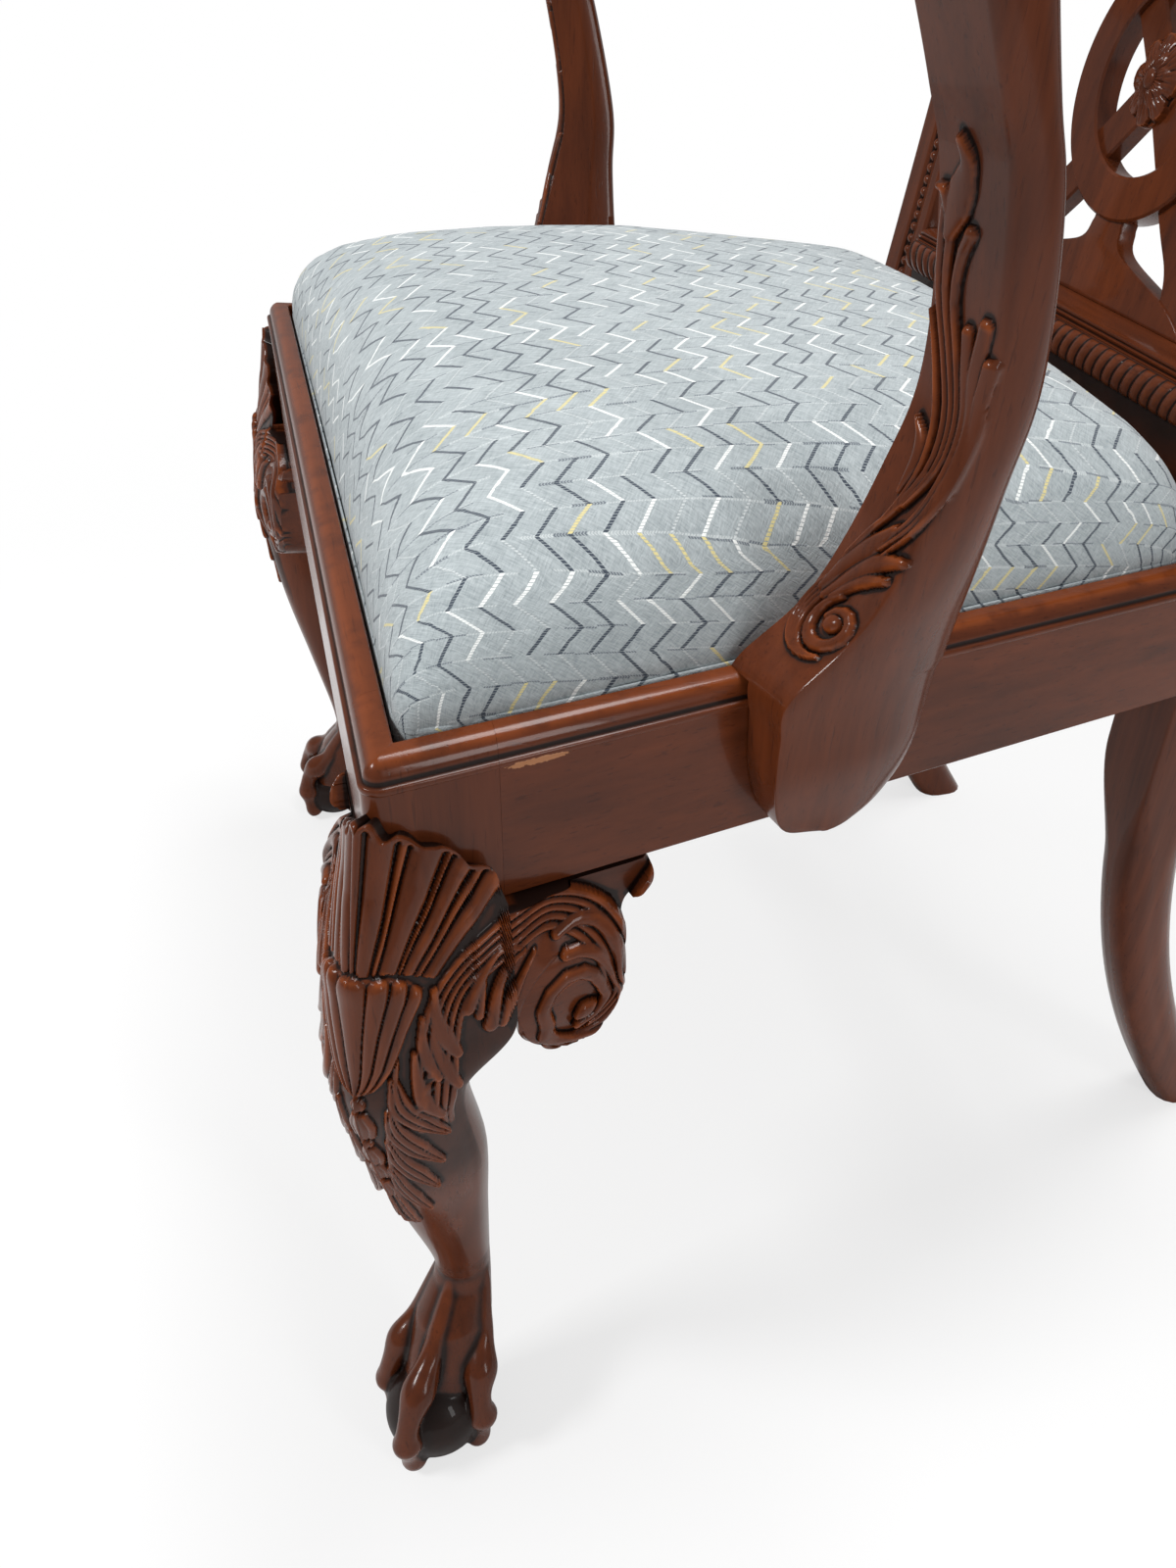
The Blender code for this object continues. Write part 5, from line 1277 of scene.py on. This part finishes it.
def back_posts():
    """Rear leg and stile in one piece: the leg kicks back, the stile leans, flares and carries beads."""
    face_columns = 56
    kicked, upright, leg_top, corner = 56, 12, RAIL_TOP - 0.004, 0.0014
    share = np.concatenate([np.linspace(1, 0, kicked), np.zeros(upright)])
    straight = np.concatenate([np.zeros(kicked), np.linspace(0, leg_top - KICK_HEIGHT, upright + 1)[1:]])
    slim = eased(share, 0.0, 0.25)
    leg_width = BACK_POST_WIDTH - 0.008 * slim
    leg_depth = BACK_POST_DEPTH + 0.002 * share
    inset, depth = post_ring(leg_width, leg_depth, corner + 0.0146 * slim, face_columns)
    y = FRONT_FACE + SEAT_DEPTH + (KICK * share ** 2)[:, None] + depth
    level = np.broadcast_to((KICK_HEIGHT * (1 - share) + straight)[:, None], depth.shape)
    leg = np.stack([HALF_REAR - inset, y, level], -1)
    rise = np.linspace(0.0, STILE_LENGTH, 500)
    stile_depth = BACK_POST_DEPTH - 0.012 * rise / STILE_LENGTH
    inset, depth = post_ring(stile_width(rise), stile_depth, np.full_like(rise, corner), face_columns)
    height = np.zeros(inset.shape)
    level = np.broadcast_to(rise[:, None], inset.shape)
    face = slice(0, face_columns + 1)
    height[:, face] = stile_relief(inset[:, face], level[:, face])
    height *= (eased(rise, 0.030, 0.036) * eased(-rise, -0.482, -0.478))[:, None]
    edge = np.minimum(inset, stile_width(rise)[:, None] - inset)
    height[:, face] *= eased(edge[:, face], 0.0012, 0.0026)
    stile = on_back(stile_outer(rise)[:, None] - inset, level, depth - height)
    # The channel is darkened as dark glazing and painted shade, and the bead tops are lightened as rub and
    # painted highlight.
    glaze_and_shade_in_channel, rub_and_sheen = height < -0.0007, height > 0.0012
    hollow = np.concatenate([np.zeros(leg.shape[:2]), 0.8 * glaze_and_shade_in_channel - 0.4 * rub_and_sheen])
    post = rolled(np.concatenate([leg, stile]), hollow)
    wooden_pair("beaded_back_post", post, UPRIGHT_GRAIN, "back_post")


# Splat, its shoe and the crest

SPLAT_SETBACK = 0.018
SPLAT_THICKNESS = 0.012
SHOE_HEIGHT = 0.076
SPLAT_FOOT = SHOE_HEIGHT / math.cos(LEAN) + SPLAT_SETBACK * math.tan(LEAN)
RING_RISE = 0.198
RING_RADIUS = 0.062
BASE_WIDTH = 0.200
STRAP_SWELL = 0.088
LOOP_HEIGHT = 0.116


def ribbon(path, width, near, far, is_ring=False):
    """A flat band along a path on the back, between two depths, its front edges chamfered."""
    if is_ring:
        ahead = np.roll(path, -1, axis=0) - np.roll(path, 1, axis=0)
    else:
        ahead = np.gradient(path, axis=0)
    ahead /= np.linalg.norm(ahead, axis=1)[:, None]
    across = np.stack([-ahead[:, 1], ahead[:, 0]], -1)
    half, cut = width / 2, 0.0013
    section = [(half - cut, near), (half, near + cut), (half, far),
               (-half, far), (-half, near + cut), (cut - half, near)]
    rings = np.stack([on_back(*(path + across * offset).T, depth) for offset, depth in section], axis=1)
    return rolled(np.concatenate([rings, rings[:1]]) if is_ring else rings)


def panel(outline, near, far, chamfer):
    """A flat panel on the back from its outline, with a chamfer round its front."""
    front, rear = ([Vector(point) for point in on_back(*np.transpose(outline), depth)]
                   for depth in (near, far))
    mesh = extruded(front, rear)
    rim = [edge for edge in mesh.edges
           if all((vert.co - front[0]).dot(INTO_BACK) < 1e-5 for vert in edge.verts)]
    bmesh.ops.bevel(mesh, geom=rim, offset=chamfer, segments=2, profile=0.5, affect="EDGES", material=-1)
    return mesh


def rosette():
    """Two rings of leaves and a button where the straps cross."""
    spokes = np.linspace(0, math.tau, 128, endpoint=False)
    reach = np.linspace(0, 1, 40)[:, None]
    outer = 0.78 + 0.22 * np.abs(np.cos(4 * spokes)) ** 0.7
    inner = 0.62 * (0.74 + 0.26 * np.abs(np.sin(4 * spokes)) ** 0.7)
    vein = 0.75 + 0.25 * np.abs(np.sin(16 * spokes))
    low = (0.0024 + 0.0030 * np.sin(math.pi * np.clip(reach / outer, 0, 1)) * vein) * (reach < outer)
    mid = (0.0046 + 0.0026 * np.sin(math.pi * np.clip(reach / inner, 0, 1)) * vein) * (reach < inner)
    button_radius, size, drawn_up = 0.22, 0.0205, 1.18
    button = (0.0070 + 0.0020 * domed(reach / button_radius)) * (reach < button_radius)
    height = np.maximum(np.maximum(low, mid), button)
    height[-1] = -0.002
    x = reach * size * np.cos(spokes)
    rise = RING_RISE + drawn_up * reach * size * np.sin(spokes)
    return rolled(on_back(x, rise, SPLAT_SETBACK - height))


def carved_splat():
    """The pierced splat: a ring and a loop over two crossing straps, on a flared base."""
    near, far = SPLAT_SETBACK, SPLAT_SETBACK + SPLAT_THICKNESS
    spokes = np.linspace(0, math.tau, 120, endpoint=False)
    circle = np.stack([np.cos(spokes), np.sin(spokes)], -1)
    ring = ribbon(circle * RING_RADIUS + [0.0, RING_RISE], 0.024, near - 0.0030, far, True)
    upper, high = RING_RISE + RING_RADIUS, STILE_LENGTH - 0.0003
    loop_middle = upper + LOOP_HEIGHT * 0.53
    loop = ribbon(circle * [0.034, LOOP_HEIGHT / 2] + [0.0, loop_middle], 0.019, near - 0.0024, far, True)
    strap = through([(-BASE_WIDTH * 0.42, SPLAT_FOOT + 0.0006), (-STRAP_SWELL * 0.84, SPLAT_FOOT + 0.0322),
                     (-RING_RADIUS * 0.81, RING_RISE - RING_RADIUS * 0.94), (0.0, RING_RISE),
                     (RING_RADIUS * 0.90, upper), (STRAP_SWELL, upper + LOOP_HEIGHT * 0.60),
                     (STRAP_SWELL * 0.70, upper + LOOP_HEIGHT * 1.16),
                     (0.027, high - 0.0484), (0.033, high - 0.0066)], 140)
    straps = [ribbon(strap * [sign, 1.0], 0.0215, near + set_in, far - set_in)
              for sign, set_in in ((1, 0.0006), (-1, 0.0016))]
    edge = through([(BASE_WIDTH / 2, SPLAT_FOOT), (BASE_WIDTH * 0.46, SPLAT_FOOT + 0.0064),
                    (BASE_WIDTH * 0.35, SPLAT_FOOT + 0.016), (0.0224, SPLAT_FOOT + 0.029),
                    (0.0140, SPLAT_FOOT + 0.042)], 40)
    right = np.concatenate([edge, [(0.0140, RING_RISE - RING_RADIUS)]])
    base = panel(np.concatenate([right, right[::-1] * [-1.0, 1.0]]), near, far, 0.0012)
    half, under = 0.075, high - 0.022
    head = panel([(-half, under), (half, under), (half, high), (-half, high)], near + 0.0003, far, 0.0030)
    whole = joined(ring, loop, *straps, base, head)
    wooden("pierced_splat", whole, UPRIGHT_GRAIN, ["splat"], hollow=np.zeros(len(whole.verts)))
    wooden("splat_rosette", rosette(), UPRIGHT_GRAIN, ["splat"], depth=0.0009, rounds=6)


def splat_shoe():
    """The block the splat stands in: a plain fascia, slanting gadroons and a reeded cove above them."""
    face, low, top = SEAT_DEPTH + 0.006, RAIL_TOP + 0.0003, RAIL_TOP + SHOE_HEIGHT
    rear = face + 0.036
    radius, cove, pitch = 0.0095, 0.008, 0.0092
    nose = top - cove - radius
    half = HALF_REAR - BACK_POST_WIDTH - 0.0003
    turns = np.linspace(0, math.pi, 22)
    x = np.linspace(-half, half, 460)
    lobes = (np.abs(x)[:, None] + 0.0040 * np.cos(turns)) / pitch
    within = lobes % 1.0 * 2 - 1
    bulge = np.sin(turns) * (0.0040 + 0.0024 * domed(within))
    bulge_y, bulge_z = face - bulge, np.broadcast_to(nose - radius * np.cos(turns), bulge.shape)
    reeds = np.array([(0.0005, 0.93), (0.0, 0.82), (0.0022, 0.74), (0.0016, 0.62), (0.0012, 0.5),
                      (0.0034, 0.42), (0.0030, 0.3), (0.0030, 0.18), (0.0056, 0.08), (0.0090, 0.0)])
    cove_y, cove_z = face + reeds[:, 0], top - cove * reeds[:, 1]
    spread = np.ones((len(x), 1))
    y = np.concatenate([face * spread, bulge_y, cove_y * spread, rear * spread, rear * spread], axis=1)
    z = np.concatenate([low * spread, bulge_z, cove_z * spread, top * spread, low * spread], axis=1)
    rings = np.stack([np.broadcast_to(x[:, None], y.shape), FRONT_FACE + y, z], -1)
    hollow = np.zeros(y.shape)
    # The valleys between the gadroons and the creases are darkened as dark glazing and painted shade; the
    # gadroons' crowns are lightened as rub and painted highlight.
    hollow[:, 1:23] = eased(np.abs(within), 0.72, 0.95) - 0.35 * (np.abs(within) < 0.4)
    hollow[:, [1, 22, 25, 28]] = 0.6
    wooden("gadrooned_shoe", rolled(rings, hollow), CROSS_GRAIN, ["splat_shoe"])


def crest():
    """The serpentine crest with upturned ears, its field sunk inside a flat border."""
    thickness, border, soft, sink, rows = 0.030, 0.0085, 0.0030, 0.0016, 110
    ear_reach, tallest = 0.026, 0.084
    low, end = STILE_LENGTH + 0.0003, float(stile_outer(STILE_LENGTH))
    ear = np.array([(0.08, 0.0), (0.4, 0.26), (0.85, 0.48), (1.0, 0.62), (0.4, 0.71)])
    dips = np.array([(0.84, 0.60), (0.56, 0.67), (0.27, 0.86), (0.0, 1.0), (-0.27, 0.86)])
    ear, dips = ear * [ear_reach, tallest] + [end, low], dips * [end, tallest] + [0.0, low]
    crown = through(np.concatenate([ear[3:], dips]), 260)
    crown = crown[crown[:, 0] > 0]
    tip = int((crown[:, 0] > ear[0, 0]).sum())
    straight = np.stack([crown[tip:, 0], np.full(len(crown) - tip, low)], -1)
    foot = np.concatenate([through(ear[3::-1], tip + 1)[:-1], straight])
    top, bottom = (np.concatenate([curve, curve[::-1] * [-1.0, 1.0]]) for curve in (crown, foot))
    share = (0.5 - 0.5 * np.cos(np.linspace(0, math.pi, rows)))[:, None]
    flat = bottom[:, None] + (top - bottom)[:, None] * share
    tall = np.linalg.norm(top - bottom, axis=1)[:, None]
    edge = np.minimum(share[:, 0], 1 - share[:, 0]) * tall
    rounded = soft * (1 - domed(np.clip(1 - edge / soft, 0, 1)))
    front = on_back(flat[..., 0], flat[..., 1], rounded + sink * eased(edge, border, border + 0.0016))
    rear = on_back(flat[..., 0], flat[..., 1], thickness - rounded)
    rings = np.concatenate([front, rear[:, ::-1]], axis=1)
    # A dark line at the foot of the sunk field's step, as dark glazing and painted shade.
    line = 0.8 * hump(edge, border + 0.0018, 0.0007)
    hollow = np.concatenate([line, np.zeros(line.shape)], axis=1)
    wooden("polished_crest_rail", rolled(rings, hollow), CROSS_GRAIN, ["crest_rail"])


def back_rail():
    """The rail under the shoe: its solid, with the soft edges of hand finishing."""
    wooden("polished_back_rail", remeshed(copied_node("back_rail"), 0.0022, 3), CROSS_GRAIN, ["back_rail"])


# Drop-in seat: the cushion with its cover's hem, and the lining under the board

def cover_hem(low, high):
    """The cover's cloth drawn down round the board's edge, as a thin closed band between two heights."""
    thickness, count, rows = 0.0014, 600, 4
    points = np.array([vert.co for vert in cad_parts["seat_cover"].data.vertices])
    foot = points[points[:, 2] < points[:, 2].min() + 0.0003, :2]
    outline = foot[convex_hull_2d([tuple(point) for point in foot])]
    outline = np.concatenate([outline, outline[:1]])
    run = np.concatenate([[0.0], np.cumsum(np.linalg.norm(np.diff(outline, axis=0), axis=1))])
    stops = np.linspace(0, run[-1], count + 1)[:-1]
    loop = np.stack([np.interp(stops, run, outline[:, k]) for k in range(2)], -1)
    heading = np.roll(loop, -1, axis=0) - np.roll(loop, 1, axis=0)
    inward = np.stack([-heading[:, 1], heading[:, 0]], -1) / np.linalg.norm(heading, axis=1)[:, None]
    inward *= np.sign((inward * (loop.mean(axis=0) - loop)).sum())
    inner = loop + inward * thickness
    heights = np.linspace(low, high, rows)
    section = [(loop, z) for z in heights] + [(inner, z) for z in heights[::-1]] + [(loop, low)]
    grid = np.stack([np.column_stack([place, np.full(count, z)]) for place, z in section], axis=1)
    return closed(sheet(np.concatenate([grid, grid[:1]])))


def chart_of(pad):
    """Flat places of the cover's cloth: from above, and carried on down its sides."""
    taper, shoulder_share = 0.12, 0.55
    data = pad.data
    places = np.array([vert.co for vert in data.vertices])
    low, high = places.min(axis=0), places.max(axis=0)
    middle, half = (low + high) / 2, (high - low) / 2
    across = (places[:, :2] - middle[:2]) / half[:2]
    across[:, 0] /= 1 - taper * (across[:, 1] + 1)
    pull = np.sign(across) * np.abs(across) ** 7
    pull /= np.maximum(np.linalg.norm(pull, axis=1), 1e-6)[:, None]
    shoulder = low[2] + shoulder_share * (high[2] - low[2])
    drop = np.maximum(shoulder - places[:, 2], 0.0)
    chart = np.concatenate([places[:, :2] + pull * drop[:, None], places[:, 2:]], axis=1)
    marks = data.attributes.new("chart", "FLOAT_VECTOR", "POINT")
    marks.data.foreach_set("vector", chart.astype(np.float32).ravel())


def cushion_form():
    """The padded seat from its two solids, swelled by cloth under pressure and drawn smooth."""
    solids = joined(copied_node("seat_cover"), copied_node("seat_foam"))
    surface = BVHTree.FromBMesh(solids)
    skin = remeshed(solids, 0.0055, 2)
    board_low, board_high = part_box("seat_board")
    bottom = board_high.z + 0.0003
    for vert in skin.verts:
        nearest = surface.find_nearest(vert.co)[0]
        vert.co = vert.co.lerp(nearest, float(1 - eased(vert.co.z, bottom + 0.010, bottom + 0.022)))
        vert.co.z = max(vert.co.z, bottom)
    fill_corners(skin)
    whole = joined(skin, cover_hem(board_low.z, board_high.z + 0.003))
    data = bpy.data.meshes.new("drop_in_cushion")
    whole.to_mesh(data)
    whole.free()
    data.shade_smooth()
    pad = bpy.data.objects.new("drop_in_cushion", data)
    bpy.context.scene.collection.objects.link(pad)
    swell(pad)
    smoother = pad.modifiers.new("soft", "SUBSURF")
    smoother.levels = 1
    smoother.render_levels = 1
    return pad


def fill_corners(skin):
    """Draws the pad's lower edge out into the two front corners of the rails."""
    inset, reach, pull = BAND + 0.0022, 0.026, 0.5
    corner = CORNER - BISECTOR * inset / math.cos(HALF_TURN)
    for vert in skin.verts:
        aim = Vector((math.copysign(corner[0], vert.co.x), corner[1], vert.co.z))
        gap = (aim - vert.co).length
        if gap < reach:
            low_down = 1 - eased(vert.co.z, RAIL_TOP + 0.004, RAIL_TOP + 0.026)
            vert.co = vert.co.lerp(aim, float(pull * (1 - gap / reach) ** 1.5 * low_down))


def swell(pad):
    """Twenty steps of cloth under pressure, with each point kept near where it started."""
    steps, cap = 20, 0.0015
    start = np.array([vert.co for vert in pad.data.vertices])
    cloth = pad.modifiers.new("cloth", "CLOTH")
    cloth.settings.use_pressure = True
    cloth.settings.uniform_pressure_force = 4.0
    cloth.settings.effector_weights.gravity = 0.0
    cloth.point_cache.frame_end = steps
    scene = bpy.context.scene
    for step in range(1, steps + 1):
        scene.frame_set(step)
    graph = bpy.context.evaluated_depsgraph_get()
    swelled = pad.evaluated_get(graph).to_mesh()
    moved = np.array([vert.co for vert in swelled.vertices]) - start
    pad.modifiers.remove(cloth)
    scene.frame_set(1)
    length = np.linalg.norm(moved, axis=1)
    moved *= np.minimum(1.0, cap / np.maximum(length, 1e-9))[:, None]
    low = start[:, 2].min()
    moved *= eased(start[:, 2], low + 0.016, low + 0.034)[:, None]
    for vert, point in zip(pad.data.vertices, start + moved):
        vert.co = point


def seat_cloth():
    """Blue-grey woven upholstery with broken rows of zigzag dashes in slate, white and straw."""
    shader = Shader("seat_cloth")
    chart = shader.mark("chart", 1)
    x, y, _ = shader.parts(chart)
    x, y = x * 1000.0, y * 1000.0
    leg_width, row_height, climb = 13.0, 13.5, 11.0
    step = x / leg_width
    leg = shader.node("Math", {"operation": "FLOOR"}, {0: step})
    along = step - leg
    odd = shader.node("Math", {"operation": "PINGPONG"}, {0: step, 1: 1.0})
    sway = shader.noise(chart, 26.0, 1.0) * 4.0
    row_place = (y - odd * climb + sway) / row_height
    row = shader.node("Math", {"operation": "FLOOR"}, {0: row_place})
    across = shader.node("Math", {"operation": "ABSOLUTE"}, {0: row_place - row - 0.5}) * row_height
    cells = [shader.node("CombineXYZ", {}, {0: leg, 1: row, 2: layer}) for layer in (3.0, 9.0)]
    pick, chance = (shader.node("TexWhiteNoise", {"noise_dimensions": "3D"}, {"Vector": cell})
                    for cell in cells)
    link = shader.node("Math", {"operation": "ABSOLUTE"}, {0: along - 0.5})
    dash = shader.node("Math", {"operation": "FRACT"}, {0: along * 11.0})
    stitch = shader.node("Math", {"operation": "FRACT"}, {0: row_place * 11.0})
    line = (across < 0.95) * (dash < 0.82)
    bridge = (link > 0.44) * (stitch < 0.66)
    faint = (across < 0.6) * (dash < 0.55)
    weave_place = shader.stretched(chart, (1.0, 1.0, 0.2), (0.0, 0.0, 0.6))
    warp = shader.noise(shader.stretched(weave_place, (1.0, 0.10, 1.0)), 1500.0, 1.0)
    weft = shader.noise(shader.stretched(weave_place, (0.10, 1.0, 1.0)), 1500.0, 1.0)
    mottle = shader.noise(chart, 42.0, 3.0)
    yarn = warp * 0.8 + weft * 0.6 + mottle * 0.4 - 0.40
    base = shader.mix(yarn, colour(118, 128, 132), colour(190, 198, 200))
    base = shader.mix(faint * 0.6, base, colour(214, 219, 219))
    base = shader.mix(bridge * (chance > 0.40) * 0.55, base, colour(206, 212, 212))
    base = shader.mix(bridge * (chance > 0.74) * 0.85, base, colour(72, 82, 94))
    base = shader.mix(line * (pick < 0.48), base, colour(58, 68, 80))
    base = shader.mix(line * (pick > 0.60) * (pick < 0.82), base, colour(234, 237, 235))
    base = shader.mix(line * (pick > 0.48) * (pick < 0.60), base, colour(212, 200, 142))
    weave = shader.bump(warp + weft + line * 0.5, 0.0003, 0.8)
    return shader.finish(Base_Color=base, Roughness=0.9, Normal=weave,
                         Sheen_Weight=0.2, Sheen_Roughness=0.5)


def drop_in_seat():
    """The cushion, which stands for the cover and the foam."""
    cushion = cushion_form()
    chart_of(cushion)
    cushion.data.materials.append(seat_cloth())
    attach(cushion, "drop_in_seat")
    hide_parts("seat_cover", "seat_foam")


def lining():
    """The black cloth under the seat board, a thin sheet that sags a little between its staples."""
    low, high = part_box("dust_cover")
    corners = [vert.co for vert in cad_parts["dust_cover"].data.vertices]
    front_half = max(point.x for point in corners if point.y < low.y + 0.05)
    rear_half = max(point.x for point in corners if point.y > high.y - 0.02)
    v, u = np.meshgrid(np.linspace(0, 1, 61), np.linspace(-1, 1, 81), indexing="ij")
    half = front_half + (rear_half - front_half) * v
    sag = 0.0014 * (1 - u ** 2) * np.sin(np.pi * v)
    puckers = 0.0003 * np.cos(u * 38) * (1 - np.minimum(1, 8 * np.minimum(v, 1 - v)))
    z = (low.z + high.z) / 2 - sag + puckers
    cloth = sheet(np.stack([u * half, low.y + (high.y - low.y) * v, z], -1))
    made = piece("lining_sheet", cloth, lining_cloth(), "drop_in_seat", ["dust_cover"])
    thickness = made.modifiers.new("thickness", "SOLIDIFY")
    thickness.thickness = 0.0006


def carried_nodes():
    """The hidden blocks, board, dowels and screws keep their solids and get their own finish."""
    block_wood = plain_wood("block_wood", colour(150, 116, 76), colour(206, 172, 124), (0.08, 1.0, 1.0), 0.6)
    board_wood = plain_wood("board_wood", colour(150, 112, 70), colour(200, 164, 116), (0.06, 1.0, 1.0), 0.65)
    finishes = {"screw": screw_steel(), "corner_block": block_wood, "dowel": block_wood,
                "seat_board": board_wood}
    for name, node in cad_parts.items():
        fitting = [finish for word, finish in finishes.items() if word in name]
        if fitting:
            node.data.materials.clear()
            node.data.materials.append(fitting[0])


# The making, in order

camera()
white_world()
pale_floor()
studio_lamps()
rails()
front_leg_pieces()
arm_support()
arms()
back_posts()
carved_splat()
splat_shoe()
crest()
back_rail()
drop_in_seat()
lining()
carried_nodes()
